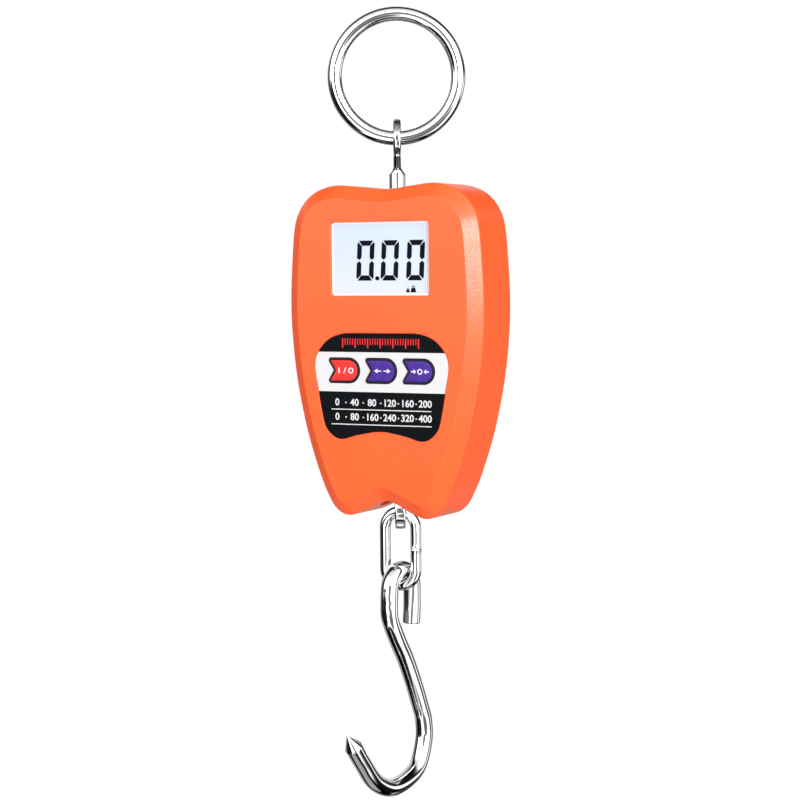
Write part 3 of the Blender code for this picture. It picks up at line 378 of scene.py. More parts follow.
def chrome_look(name, roughness=0.045):
    """Polished plated steel: faint polishing lines, slow waviness and a few haze patches."""
    look = Look(name, CHROME_COLOUR, roughness, 1.0)
    tint = look.fit(look.noise(90, 3), 0, 1)
    look.set_colour(look.blend(tint, (0.86, 0.865, 0.875), (0.93, 0.93, 0.935)))
    look.set_roughness(look.fit(look.noise(260, 4), roughness - 0.02, roughness + 0.05))
    look.bump(look.noise(120, 1), 0.00002, 0.5)
    look.bump(look.noise(3000, 2, stretch=(1, 1, 0.12)), 0.0000008)
    return look


def forged(eye_z):
    """Bright metal, darker grey at the eye's crown, with painted shade round its neck: a near-black band
    standing in for the shade on its flat faces.
    """
    look = chrome_look("eye_chrome_painted_shade", 0.07)
    levels = (eye_z + 1.6 * MM, eye_z - 6.4 * MM, -53.2 * MM)
    # Painted shade: the near-black colour from just above the loop's foot down to the collar stands in for
    # shade on the neck's flat faces; the first colour only makes the crown darker grey
    colours = ((0.40, 0.40, 0.41), CHROME_COLOUR, (0.10, 0.10, 0.105), CHROME_COLOUR)
    look.set_colour(level_split(look, levels, colours))
    return look.material


def plated(name, colour, roughness):
    """Zinc-plated or milled metal with brushed lines."""
    look = Look(name, colour, roughness, 1.0)
    look.vary(0.08, 220)
    lines = look.noise(1200, 3, stretch=(0.15, 1, 1))
    look.set_roughness(look.fit(lines, roughness - 0.08, roughness + 0.12))
    look.bump(look.noise(4000, 2, stretch=(0.08, 1, 1)), 0.000006)
    return look.material


def level_split(look, levels, colours):
    """Colours that change at heights, from the top down."""
    height = look.along("Z")
    result = colours[0]
    for level, colour in zip(levels, colours[1:]):
        result = look.blend(calculate(look.tree, "LESS_THAN", height, level), result, colour)
    return result


# ---------------------------------------------------------------- mesh helpers

# Angles in degrees above which an edge stays sharp
SHARP_PRINT = 30
SHARP_CASE = 35
SHARP_METAL = 40
SHARP_SOFT = 50
SHARP_WELD = 55


def mesh_from(name, bm):
    """A mesh from a bmesh, with its faces turned outwards."""
    bmesh.ops.recalc_face_normals(bm, faces=bm.faces)
    mesh = bpy.data.meshes.new(name)
    bm.to_mesh(mesh)
    bm.free()
    return mesh


def evaluated_mesh(obj):
    """A mesh of an object with its modifiers applied, or of a text."""
    bpy.context.view_layer.update()
    graph = bpy.context.evaluated_depsgraph_get()
    return bpy.data.meshes.new_from_object(obj.evaluated_get(graph))


def finish_mesh(name, bm, materials, body, nodes, sharp=None, weighted=True):
    finish_piece(name, mesh_from(name, bm), materials, body, nodes, sharp, weighted)


def finish_piece(name, mesh, materials, body, nodes, sharp=None, weighted=True):
    """Makes a smooth-shaded piece that rides on a CAD body, stands for CAD nodes and takes a slot's finish."""
    piece = add_object(name, mesh)
    for made in materials if isinstance(materials, list) else [materials]:
        mesh.materials.append(made)
    mesh.shade_smooth()
    if sharp:
        mesh.set_sharp_from_angle(angle=math.radians(sharp))
    if weighted:
        normals = piece.modifiers.new("even_shading", "WEIGHTED_NORMAL")
        normals.keep_sharp = True
        normals.weight = 60
    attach(piece, body)
    if nodes:
        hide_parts(*nodes)
    return piece


def ring_of(bm, points):
    return [bm.verts.new(p) for p in points]


def skin(bm, rings, slot=0):
    """Quads between closed rings of equal length."""
    for lower, upper in zip(rings, rings[1:]):
        count = len(lower)
        for i in range(count):
            j = (i + 1) % count
            face = bm.faces.new((lower[i], lower[j], upper[j], upper[i]))
            face.material_index = slot


def loft(bm, sections):
    """A closed solid through sections of equal length."""
    rings = [ring_of(bm, section) for section in sections]
    skin(bm, rings)
    bm.faces.new(rings[0])
    bm.faces.new(rings[-1])


def prism(bm, outline, front_y, rear_y):
    """A solid between two depths, with an outline that is seen from the front."""
    loft(bm, [at_depth(outline, front_y), at_depth(outline, rear_y)])


def cap(bm, loops, normal, slot=0):
    """A flat face between one outer loop and the holes in it."""
    edges = []
    for loop in loops:
        for a, b in zip(loop, loop[1:] + loop[:1]):
            edge = bm.edges.get((a, b)) or bm.edges.new((a, b))
            edges.append(edge)
    made = bmesh.ops.triangle_fill(bm, use_beauty=True, use_dissolve=False, edges=edges, normal=normal)
    for item in made["geom"]:
        if isinstance(item, bmesh.types.BMFace):
            item.material_index = slot


def turn_angles(count):
    """Angles once round, in equal steps."""
    return [2 * math.pi * k / count for k in range(count)]


def round_sections(centres, directions, radii, sides):
    """Round sections across a path that lies in the XZ plane."""
    up = Vector((0, 1, 0))
    sections = []
    for centre, along, radius in zip(centres, directions, radii):
        side = along.cross(up).normalized()
        sections.append([
            centre + radius * (math.cos(a) * side + math.sin(a) * up) for a in turn_angles(sides)
        ])
    return sections


def closed_bar(bm, centres, radii, sides):
    """A round bar that closes on itself, through points in the XZ plane."""
    count = len(centres)
    directions = [(centres[(i + 1) % count] - centres[i - 1]).normalized() for i in range(count)]
    rings = [ring_of(bm, section) for section in round_sections(centres, directions, radii, sides)]
    skin(bm, rings + [rings[0]])


def place_mesh(bm, z, turn):
    """Turns a mesh about Z and lifts it to its height."""
    matrix = Matrix.Translation((0, 0, z)) @ Matrix.Rotation(turn, 4, "Z")
    bmesh.ops.transform(bm, matrix=matrix, verts=bm.verts)


def turned(bm, profile, steps):
    """Turns (radius, height) points about Z; it closes to the axis where the radius is 0."""
    rings = []
    for radius, height in profile:
        if radius == 0:
            rings.append(bm.verts.new((0, 0, height)))
            continue
        points = [(radius * math.cos(a), radius * math.sin(a), height) for a in turn_angles(steps)]
        rings.append(ring_of(bm, points))
    for lower, upper in zip(rings, rings[1:]):
        if isinstance(lower, list) and isinstance(upper, list):
            skin(bm, [lower, upper])
            continue
        tip, ring = (upper, lower) if isinstance(lower, list) else (lower, upper)
        for i in range(steps):
            bm.faces.new((tip, ring[i], ring[(i + 1) % steps]))


def rounded(path, radii, steps):
    """A path of points in a plane, with a fillet of the given radius at each corner between its ends."""
    result = [Vector(path[0])]
    for before, corner, after, radius in zip(path, path[1:], path[2:], radii):
        corner = Vector(corner)
        back = (Vector(before) - corner).normalized()
        ahead = (Vector(after) - corner).normalized()
        half = back.angle(ahead) / 2
        middle = (back + ahead).normalized()
        centre = corner + middle * radius / math.sin(half)
        reach = radius / math.tan(half)
        start = corner + back * reach - centre
        end = corner + ahead * reach - centre
        sweep = start.angle(end)
        for k in range(steps + 1):
            t = k / steps
            a = math.sin((1 - t) * sweep) / math.sin(sweep)
            b = math.sin(t * sweep) / math.sin(sweep)
            result.append(centre + a * start + b * end)
    result.append(Vector(path[-1]))
    return result


def rounded_loop(corners, radii, steps):
    """As rounded, for a closed loop of corners."""
    wrapped = [corners[-1], *corners, corners[0]]
    return rounded(wrapped, radii, steps)[1:-1]


def spline_point(points, place_on):
    """A point on the smooth curve through these points; 1.5 is halfway from the second to the third."""
    last = len(points) - 1
    index = min(int(place_on), last - 1)
    t = place_on - index
    before = points[max(index - 1, 0)]
    start = points[index]
    end = points[index + 1]
    after = points[min(index + 2, last)]
    return start + 0.5 * (
        (end - before) * t
        + (2 * before - 5 * start + 4 * end - after) * t ** 2
        + (3 * start - before - 3 * end + after) * t ** 3
    )


def symmetric_outline(half, samples):
    """A closed outline from its right half, smooth across the middle at both ends."""
    before, after = [Vector((-x, z)) for x, z in (half[1], half[-2])]
    points = [before, *[Vector(p) for p in half], after]
    steps = (len(half) - 1) * samples
    right = [spline_point(points, 1 + i / samples) for i in range(steps + 1)]
    left = [Vector((-p.x, p.y)) for p in reversed(right[1:-1])]
    return right + left


def inset_outline(outline, inset):
    """The outline moved inwards, for one that runs clockwise."""
    moved = []
    count = len(outline)
    for i, point in enumerate(outline):
        along = (outline[(i + 1) % count] - outline[i - 1]).normalized()
        moved.append(point + inset * Vector((along.y, -along.x)))
    return moved


def case_outline(inset):
    half = [(x * MM, CASE_LOW_Z + z * MM) for x, z in CASE_OUTLINE]
    return inset_outline(symmetric_outline(half, 10), inset)


def label_outline(inset):
    half = [(x * MM, LABEL_TOP_Z + z * MM) for x, z in LABEL_OUTLINE]
    return inset_outline(symmetric_outline(half, 8), inset)


def key_outline(x, inset):
    """A key seen from the front: a notched left end with rounded tips and a bowed right end, clockwise."""
    half = KEY_HEIGHT / 2
    tip = -KEY_WIDTH / 2 - 0.15 * MM
    notch = KEY_NOTCH + 0.15 * MM
    shift = inset * math.hypot(notch, half) / half
    top = half - inset
    corner_x = tip + notch * inset / half + shift
    vertex = Vector((tip + notch + shift, 0))
    bow_x = KEY_WIDTH / 2 - KEY_BOW
    radius = max(KEY_TIP_RADIUS - inset, 0.15 * MM)
    bow = []
    for step in range(1, 24):
        angle = math.pi / 2 - step * math.pi / 24
        bow.append(Vector((bow_x + (KEY_BOW - inset) * math.cos(angle), top * math.sin(angle))))
    upper = Vector((corner_x, top))
    lower = Vector((corner_x, -top))
    start = rounded([lower, vertex, upper, Vector((bow_x, top))], (0.4 * MM + inset, radius), 6)[7:]
    tail = rounded([Vector((bow_x, -top)), lower, vertex, upper], (radius, 0.4 * MM + inset), 6)[:-1]
    return [Vector((x + p.x, KEY_Z + p.y)) for p in start[1:] + bow + tail]


def box_outline(half_width, low_z, high_z, radius, steps=5):
    corners = [
        Vector((-half_width, low_z)), Vector((-half_width, high_z)),
        Vector((half_width, high_z)), Vector((half_width, low_z)),
    ]
    return rounded_loop(corners, (radius,) * 4, steps)


def at_depth(outline, y):
    return [Vector((p.x, y, p.y)) for p in outline]


def subtract(solid, cutters):
    """The mesh of a solid with the cutters taken out of it; both are removed."""
    for cutter in cutters:
        cut = solid.modifiers.new("cut", "BOOLEAN")
        cut.operation = "DIFFERENCE"
        cut.object = cutter
        cut.solver = "EXACT"
    mesh = evaluated_mesh(solid)
    for used in (*cutters, solid):
        bpy.data.objects.remove(used)
    return mesh


def loose(name, bm):
    """A plain object from a bmesh, for cutting with."""
    return add_object(name, mesh_from(name, bm))


def cylinder_cutter(name, radius, top_z, low_z, sides):
    """An upright cylinder about the load line."""
    bm = bmesh.new()
    start = Vector((0, 0, top_z))
    end = Vector((0, 0, low_z))
    along = end - start
    matrix = Matrix.Translation((start + end) / 2) @ along.to_track_quat("Z", "Y").to_matrix().to_4x4()
    bmesh.ops.create_cone(bm, cap_ends=True, segments=sides, radius1=radius, radius2=radius,
                          depth=along.length, matrix=matrix)
    return loose(name, bm)


def prism_cutter(name, outline, front_y, rear_y):
    bm = bmesh.new()
    prism(bm, outline, front_y, rear_y)
    return loose(name, bm)


# ---------------------------------------------------------------- ring, eyes, link and hook

def make_ring(look):
    radius = RING_OUTER_RADIUS - RING_WIRE_RADIUS
    centre = Vector((0, 0, -(radius - RING_WIRE_RADIUS)))
    points = [centre + radius * Vector((math.sin(a), 0, math.cos(a))) for a in turn_angles(180)]
    bm = bmesh.new()
    closed_bar(bm, points, [RING_WIRE_RADIUS] * len(points), 32)
    place_mesh(bm, 0, RING_TURN)
    finish_mesh("ring_wire", bm, look, "ring", ["hanging_ring"], weighted=False)


def make_eye_loop(name, body, look, eye_z, half, bore, rim, bore_corner, rim_corner):
    """The closed loop of an eye: its half width, bore and rim radii, and the corner radii of both."""
    corners = [Vector(p) for p in ((rim, half), (rim, -half), (bore, -half), (bore, half))]
    section = rounded_loop(corners, (rim_corner, rim_corner, bore_corner, bore_corner), 4)
    bm = bmesh.new()
    rings = []
    for a in turn_angles(96):
        rings.append(ring_of(bm, [(p.y, p.x * math.cos(a), p.x * math.sin(a)) for p in section]))
    skin(bm, rings + [rings[0]])
    place_mesh(bm, eye_z, RING_TURN)
    finish_mesh(name, bm, look, body, (), SHARP_SOFT)


def squircle(half_x, half_y, z, power=2.0):
    """A level section between an ellipse (power 2) and a rounded rectangle (higher power)."""
    points = []
    for angle in turn_angles(32):
        c = math.cos(angle)
        s = math.sin(angle)
        reach = (abs(c) ** power + abs(s) ** power) ** (-1 / power)
        points.append(Vector((half_x * c * reach, half_y * s * reach, z)))
    return points


def make_shank(name, body, node, look, sections):
    """An eye's neck and shank, lofted through level sections."""
    bm = bmesh.new()
    loft(bm, [squircle(*section) for section in sections])
    place_mesh(bm, 0, RING_TURN)
    finish_mesh(name, bm, look, body, [node], SHARP_METAL)


def make_top_eye(thread_look):
    low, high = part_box("top_eye_bolt")
    bore = 3.1 * MM
    rim = 7.1 * MM
    half = 1.4 * MM
    shank = 2.95 * MM
    thread_z = -69.6 * MM
    eye_z = high.z - rim
    look = forged(eye_z)
    make_eye_loop("upper_eye_loop", "top_eye", look, eye_z, half, bore, rim, 1.25 * MM, 1.0 * MM)
    make_shank("upper_eye_neck", "top_eye", "top_eye_bolt", look, (
        (0.75 * half, 3.6 * MM, eye_z - bore - 1.6 * MM, 2.6),
        (half, 4.3 * MM, eye_z - bore - 2.6 * MM, 2.6),
        (half, 3.7 * MM, eye_z - rim + 0.2 * MM, 2.6),
        (half, 3.1 * MM, eye_z - rim - 1.4 * MM, 2.4),
        (half, shank, -52.0 * MM, 2.3),
        (1.08 * half, shank, -52.5 * MM, 2.2),
        (0.88 * shank, shank, -53.9 * MM, 2.1),
        (shank, shank, -54.3 * MM),
        (shank, shank, -54.9 * MM),
        (shank, shank, thread_z),
    ))
    make_thread("upper_eye_thread", "top_eye", thread_z, low.z, thread_look)


def make_thread(name, body, top_z, low_z, look):
    """A threaded end: fine ridges between the two heights."""
    bm = bmesh.new()
    pitch = 0.8 * MM
    root = 2.2 * MM
    crest = 2.5 * MM
    profile = [(0, top_z)]
    z = top_z
    while z > low_z + pitch:
        profile += [(root, z), (crest, z - 0.4 * pitch), (crest, z - 0.55 * pitch)]
        z -= pitch
    profile += [(root - 0.1 * MM, low_z), (0, low_z)]
    turned(bm, profile, 32)
    finish_mesh(name, bm, look, body, (), SHARP_PRINT, weighted=False)


def make_bottom_eye(look, thread_look):
    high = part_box("bottom_eye_bolt")[1]
    half = BOTTOM_EYE_HALF
    rim = BOTTOM_EYE_RADIUS + half
    bore = BOTTOM_EYE_RADIUS - half
    top = BOTTOM_EYE_Z + rim
    shank = 2.9 * MM
    thread_z = -123.0 * MM
    make_eye_loop(
        "lower_eye_loop", "bottom_eye", look, BOTTOM_EYE_Z, half, bore, rim, 0.98 * half, 0.4 * half)
    make_shank("lower_eye_shank", "bottom_eye", "bottom_eye_bolt", look, (
        (0.8 * half, 2.6 * MM, top - 3.0 * MM, 2.6),
        (half, 3.3 * MM, top - 1.9 * MM, 2.6),
        (half, 3.0 * MM, top - 0.4 * MM, 2.4),
        (shank, shank, top + 1.2 * MM),
        (shank, shank, thread_z),
    ))
    make_thread("lower_eye_thread", "bottom_eye", high.z, thread_z, thread_look)


# Height along the link's right side and how far the weld stands out or sinks in, in millimetres
WELD_BEAD = (
    (-5.0, 0), (-2.0, 0), (-0.9, 0.02), (-0.45, 0.10), (-0.2, 0.12), (-0.06, -0.05), (0.06, -0.05),
    (0.2, 0.12), (0.45, 0.10), (0.9, 0.02), (2.0, 0), (5.0, 0),
)


def make_link(look):
    half_straight = (LINK_TOP_Z - LINK_BOTTOM_Z) / 2 - LINK_BEND_RADIUS
    points = []
    radii = []
    for end in (1, -1):
        for step in range(41):
            angle = math.pi * step / 40
            across = end * LINK_BEND_RADIUS * math.cos(angle)
            points.append(Vector((across, 0, end * (half_straight + LINK_BEND_RADIUS * math.sin(angle)))))
            radii.append(LINK_WIRE_RADIUS)
        if end == 1:
            for step in range(1, 8):
                points.append(Vector((-LINK_BEND_RADIUS, 0, half_straight - step * half_straight / 4)))
                radii.append(LINK_WIRE_RADIUS)
        else:
            for height, swell in WELD_BEAD:
                points.append(Vector((LINK_BEND_RADIUS, 0, height * MM)))
                radii.append(LINK_WIRE_RADIUS + swell * MM)
    bm = bmesh.new()
    closed_bar(bm, points, radii, 28)
    place_mesh(bm, (LINK_TOP_Z + LINK_BOTTOM_Z) / 2, LINK_TURN)
    finish_mesh("link_wire", bm, look, "link", ["chain_link"], SHARP_WELD, weighted=False)


# The hook's short end below its loop, as (share of the loop's radius, height in millimetres)
HOOK_END = ((0.91, -20.6), (0.93, -19.0), (0.97, -16.5), (1, -13.5), (1, -10))
# The hook's blunt point, as (millimetres past the bar's end, share of its radius)
HOOK_TIP = ((0.25, 0.99), (0.5, 0.95), (0.9, 0.88), (2.6, 0.62), (4.6, 0.30), (6.0, 0.10), (6.3, 0.0001))
HOOK_END_CHAMFER = 0.35 * MM


def hook_path():
    """The middle line of the hook's bar, from the end of its short side to the foot of its point."""
    loop = HOOK_LOOP_RADIUS
    path = [Vector((share * loop, height * MM)) for share, height in HOOK_END]
    for step in range(33):
        angle = math.pi * step / 32
        path.append(Vector((loop * math.cos(angle), loop * math.sin(angle) - loop)))
    shape = [path[-1], *[Vector((across, height)) * MM for across, height in HOOK_SHAPE]]
    samples = 10
    for step in range(1, (len(shape) - 1) * samples + 1):
        path.append(spline_point(shape, step / samples))
    return [Vector((p.x, 0, p.y)) for p in path]


def make_hook(look):
    path = hook_path()
    radius = HOOK_WIRE_RADIUS
    first = (path[1] - path[0]).normalized()
    last = (path[-1] - path[-2]).normalized()
    centres = [path[0], path[0], path[0] + first * HOOK_END_CHAMFER, *path[1:]]
    radii = [0.0001 * MM, radius - HOOK_END_CHAMFER] + [radius] * len(path)
    for reach, share in HOOK_TIP:
        centres.append(path[-1] + last * reach * MM)
        radii.append(radius * share)
    middle = [(centres[i + 1] - centres[i - 1]).normalized() for i in range(3, len(path) + 1)]
    directions = [first] * 3 + middle + [last] * (len(HOOK_TIP) + 1)
    bm = bmesh.new()
    loft(bm, round_sections(centres, directions, radii, 32))
    place_mesh(bm, HOOK_TOP_Z, HOOK_TURN)
    finish_mesh("hook_bar", bm, look, "hook", ["s_hook"], SHARP_METAL, weighted=False)


# ---------------------------------------------------------------- case

# From the display opening in the CAD to the one in the picture, a little left and down
WINDOW_SHIFT = Vector((-0.35 * MM, -0.35 * MM))


def make_opening(bm, outline, front_y, rear_y, rounding):
    """Walls of an opening with a rounded front edge. Returns its front and rear loops."""
    profile = [Vector((0, 0)), Vector((0, rear_y - front_y))]
    if rounding:
        profile = rounded([(-1.5 * rounding, 0), *profile], (rounding,), 5)[1:]
    rings = [ring_of(bm, at_depth(inset_outline(outline, p.x), front_y + p.y)) for p in profile]
    skin(bm, rings)
    return rings[0], rings[-1]


def key_openings(bm, front_y, rear_y, rounding):
    """The openings for the three keys. Returns their front loops and their rear loops."""
    outlines = [key_outline((i - 1) * KEY_PITCH, -KEY_CLEARANCE) for i in range(3)]
    return zip(*[make_opening(bm, outline, front_y, rear_y, rounding) for outline in outlines])


def case_shell(parting_y, face_y, inset, depth, corners, steps):
    """A case half's outer and inner skins, joined at the parting, with the edges of its open face."""
    side = 1 if face_y > parting_y else -1
    side_end = face_y - side * depth
    inner_y = face_y - side * WALL
    outer = rounded([
        (0.3 * MM, parting_y), (0, parting_y + side * 0.04 * MM), (0, side_end), (inset, face_y),
        (8 * MM, face_y),
    ], (0.01 * MM, *corners), steps)
    inner = rounded([
        (WALL, parting_y), (WALL, side_end - side * 0.7 * MM), (inset + 0.9 * MM, inner_y), (9 * MM, inner_y),
    ], (MM, MM), 3)
    bm = bmesh.new()
    outer_rings, inner_rings = [
        [ring_of(bm, at_depth(case_outline(p.x), p.y)) for p in profile[:-1]]
        for profile in (outer, inner)
    ]
    skin(bm, outer_rings[::-1] + inner_rings)
    return bm, outer_rings[-1], inner_rings[-1]


def finish_case(side, bm, look):
    """Cuts the holes for the two eyes out of a case half and finishes it."""
    cutters = [
        cylinder_cutter("shank_cutter", 3.25 * MM, -50 * MM, -68 * MM, 48),
        cylinder_cutter("eye_cutter", 7.4 * MM, -163 * MM, -182 * MM, 64),
    ]
    mesh = subtract(loose("case_solid", bm), cutters)
    case = finish_piece(f"{side}_case", mesh, look, "case", [f"{side}_shell"], SHARP_CASE)
    hide_from_reflections(case)


def make_front_case(look):
    parting_y = PARTING_Y - PARTING_GAP / 2
    bm, outer_edge, inner_edge = case_shell(
        parting_y, CASE_FRONT_Y, BEVEL_INSET, BEVEL_DEPTH, (0.9 * MM, 0.6 * MM), 6)
    inner_y = CASE_FRONT_Y + WALL
    half_h = DISPLAY_HEIGHT / 2
    window = box_outline(DISPLAY_WIDTH / 2, DISPLAY_Z - half_h, DISPLAY_Z + half_h, 0.35 * MM)
    window = [p + WINDOW_SHIFT for p in window]
    front_window, rear_window = make_opening(bm, window, CASE_FRONT_Y, inner_y, 0.35 * MM)
    floor_y = CASE_FRONT_Y + 0.45 * MM
    recess = label_outline(-0.22 * MM)
    front_recess, recess_floor = make_opening(bm, recess, CASE_FRONT_Y, floor_y, 0.18 * MM)
    front_keys, rear_keys = key_openings(bm, floor_y, inner_y, 0)
    cap(bm, [outer_edge, front_window, front_recess], (0, -1, 0))
    cap(bm, [recess_floor, *front_keys], (0, -1, 0))
    cap(bm, [inner_edge, rear_window, *rear_keys], (0, 1, 0))
    finish_case("front", bm, look)


def make_rear_case(look):
    parting_y = PARTING_Y + PARTING_GAP / 2
    bm, outer_edge, inner_edge = case_shell(
        parting_y, CASE_REAR_Y, REAR_INSET, REAR_DEPTH, (3.2 * MM, 3.0 * MM), 8)
    inner_y = CASE_REAR_Y - WALL
    low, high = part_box("battery_cover")
    gap = 0.3 * MM
    ledge = 1.2 * MM
    ledge_y = CASE_REAR_Y - 1.5 * MM
    recess = box_outline(high.x + gap, low.z - gap, high.z + gap, 1.2 * MM)
    bay = box_outline(high.x - ledge, low.z + ledge, high.z - ledge, 0.8 * MM)
    outer_recess, ledge_outer = make_opening(bm, list(reversed(recess)), CASE_REAR_Y, ledge_y, 0)
    ledge_inner, bay_rear = make_opening(bm, list(reversed(bay)), ledge_y, inner_y, 0)
    cap(bm, [ledge_outer, ledge_inner], (0, 1, 0))
    holes = [outer_recess]
    inner_holes = [bay_rear]
    for i in range(4):
        box_low, box_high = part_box(f"case_screw_{i + 1}")
        centre = Vector(((box_low.x + box_high.x) / 2, (box_low.z + box_high.z) / 2))
        circle = [centre + 3.2 * MM * Vector((math.sin(a), math.cos(a))) for a in turn_angles(32)]
        seat = [centre + 2.9 * MM * (p - centre).normalized() for p in circle]
        stem = [centre + 1.6 * MM * (p - centre).normalized() for p in circle]
        levels = (
            (circle, CASE_REAR_Y), (seat, CASE_REAR_Y - 0.3 * MM), (seat, CASE_REAR_Y - 3.2 * MM),
            (stem, CASE_REAR_Y - 3.2 * MM), (stem, PARTING_Y + MM),
            (circle, PARTING_Y + MM), (circle, inner_y),
        )
        rings = [ring_of(bm, at_depth(outline, y)) for outline, y in levels]
        skin(bm, rings)
        holes.append(rings[0])
        inner_holes.append(rings[-1])
    cap(bm, [outer_edge, *holes], (0, 1, 0))
    cap(bm, [inner_edge, *inner_holes], (0, -1, 0))
    finish_case("rear", bm, look)


def make_cover(look):
    """The battery cover: a flat panel with a thumb grip of fine grooves, and its snap tab."""
    low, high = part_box("battery_cover")
    thick = 1.2 * MM
    front_y = CASE_REAR_Y - thick
    outline = box_outline(high.x, low.z, high.z, MM)
    profile = rounded([(0, 0), (0, thick), (1.5 * MM, thick)], (0.25 * MM,), 4)[:-1]
    bm = bmesh.new()
    loft(bm, [at_depth(inset_outline(outline, p.x), front_y + p.y) for p in profile])
    panel = loose("cover_panel", bm)
    cutters = []
    for i in range(6):
        z = high.z - (4.0 + 1.4 * i) * MM
        groove = box_outline((9.0 - 1.1 * i) * MM, z - 0.32 * MM, z + 0.32 * MM, 0.3 * MM, 3)
        cutters.append(prism_cutter("cover_groove", groove, CASE_REAR_Y - 0.35 * MM, CASE_REAR_Y + MM))
    mesh = subtract(panel, cutters)
    finish_piece("cover_panel", mesh, look, "cover", ["battery_cover"], SHARP_CASE)
    bm = bmesh.new()
    tab = box_outline(4 * MM, high.z - 3.1 * MM, high.z - 1.7 * MM, 0.3 * MM, 3)
    prism(bm, tab, CASE_REAR_Y - 2.2 * MM, CASE_REAR_Y - 1.1 * MM)
    finish_mesh("cover_tab", bm, look, "cover", (), SHARP_CASE)


def make_screws(look):
    """Pan-head screws with a cross recess, standing in for the plain CAD ones."""
    head = 2.6 * MM
    head_height = 2.0 * MM
    stem = 1.1 * MM
    stem_end = -6 * MM
    slot = [Vector((a * MM, b * MM)) for a, b in ((-1.5, -0.32), (-1.5, 0.32), (1.5, 0.32), (1.5, -0.32))]
    profile = [(0, head_height)]
    for k in range(7):
        angle = math.pi / 2 * k / 6
        drop = 0.9 * MM * (1 - math.cos(angle))
        profile.append((head * (0.55 + 0.45 * math.sin(angle)), head_height - drop))
    profile += [(head, 0.0), (stem, 0), (stem, stem_end), (0, stem_end)]
    for i in range(4):
        low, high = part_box(f"case_screw_{i + 1}")
        centre = (low + high) / 2
        bm = bmesh.new()
        turned(bm, profile, 40)
        seat = Matrix.Translation((centre.x, high.y - head_height, centre.z))
        bmesh.ops.transform(bm, matrix=seat @ Matrix.Rotation(-math.pi / 2, 4, "X"), verts=bm.verts)
        solid = loose("screw_solid", bm)
        cutters = []
        for k in range(2):
            turn = Matrix.Rotation(math.radians(31 * (i + 1)) + k * math.pi / 2, 2)
            outline = [Vector((centre.x, centre.z)) + turn @ p for p in slot]
            cutters.append(prism_cutter("screw_slot", outline, high.y - MM, high.y + MM))
        mesh = subtract(solid, cutters)
        finish_piece(f"screw_{i + 1}", mesh, look, "case", [f"case_screw_{i + 1}"], SHARP_CASE)


# ---------------------------------------------------------------- label, keys and display

def make_label(look):
    outline = label_outline(0)
    thick = 0.45 * MM
    profile = rounded([(0, thick), (0, 0), (MM, 0)], (0.15 * MM,), 4)[:-1]
    bm = bmesh.new()
    rings = [ring_of(bm, at_depth(inset_outline(outline, p.x), LABEL_FRONT_Y + p.y)) for p in profile]
    skin(bm, rings)
    fronts, rears = key_openings(bm, LABEL_FRONT_Y, LABEL_FRONT_Y + thick, 0.08 * MM)
    cap(bm, [rings[-1], *fronts], (0, -1, 0))
    cap(bm, [rings[0], *rears], (0, 1, 0))
    finish_mesh("label_plate", bm, look, "case", ["label_panel"], SHARP_METAL)


INK_HEIGHT = 0.03 * MM


def printed(name, outlines, look, body="case", front_y=LABEL_FRONT_Y, height=INK_HEIGHT):
    """Ink standing a hair above a surface, from closed outlines in the plane of the display."""
    bm = bmesh.new()
    for outline in outlines:
        prism(bm, outline, front_y - height, front_y + 0.02 * MM)
    finish_mesh(name, bm, look, body, (), SHARP_PRINT, weighted=False)


def bar(x, z, width, height, slant=0.0):
    """A thin upright or level bar as an outline, leaning right by slant."""
    lean = slant * height / 2
    left = x - width / 2
    right = x + width / 2
    low = z - height / 2
    top = z + height / 2
    corners = ((left - lean, low), (left + lean, top), (right + lean, top), (right - lean, low))
    return [Vector(p) for p in corners]


def number(name, value, x, z, look):
    """A plain number on the label, centred on a point."""
    curve = bpy.data.curves.new(name, "FONT")
    curve.body = str(value)
    curve.size = NUMBER_HEIGHT / 0.7
    curve.align_x = "CENTER"
    curve.align_y = "CENTER"
    curve.offset = NUMBER_WEIGHT
    curve.extrude = 0.025 * MM
    curve.resolution_u = 4
    obj = add_object(name, curve)
    obj.location = (x, LABEL_FRONT_Y, z)
    obj.rotation_euler = (math.pi / 2, 0, 0)
    mesh = evaluated_mesh(obj)
    mesh.transform(obj.matrix_world)
    bpy.data.objects.remove(obj)
    finish_piece(name, mesh, look, "case", (), SHARP_PRINT, weighted=False)


TICK_COUNT = 31
TICK_TOP_Z = -112.9 * MM
NUMBER_HEIGHT = 2.45 * MM
NUMBER_WEIGHT = 0.07 * MM
NUMBER_PITCH = 7.1 * MM
# Rows of numbers as (step between numbers, middle height, height of the rule below)
NUMBER_ROWS = ((40, -135.9 * MM, -138.35 * MM), (80, -141.1 * MM, -143.7 * MM))


def make_label_prints(white, red):
    """Generic graduations: a red scale above, and two white rows of numbers with rules below."""
    ticks = []
    for i in range(TICK_COUNT):
        x = (i - (TICK_COUNT - 1) / 2) * 1.02 * MM
        wide, tall = (0.46 * MM, 3.4 * MM) if i % 5 == 0 else (0.34 * MM, 2.3 * MM)
        ticks.append(bar(x, TICK_TOP_Z - tall / 2, wide, tall))
    printed("label_scale", ticks, red)
    for row, (step, z, rule_z) in enumerate(NUMBER_ROWS, 1):
        for i in range(6):
            number(f"label_row_{row}_{i}", i * step, (i - 2.5) * NUMBER_PITCH, z, white)
        dots = [bar((i - 2) * NUMBER_PITCH, z, 0.5 * MM, 0.5 * MM) for i in range(5)]
        printed(f"label_rule_{row}", [bar(0, rule_z, 40.4 * MM, 0.32 * MM), *dots], white)


# The crown of a key's face as (inset, height above the rim) in millimetres
KEY_CROWN = ((0.78, -0.05), (0.95, 0.0), (1.25, 0.06), (1.6, 0.1))


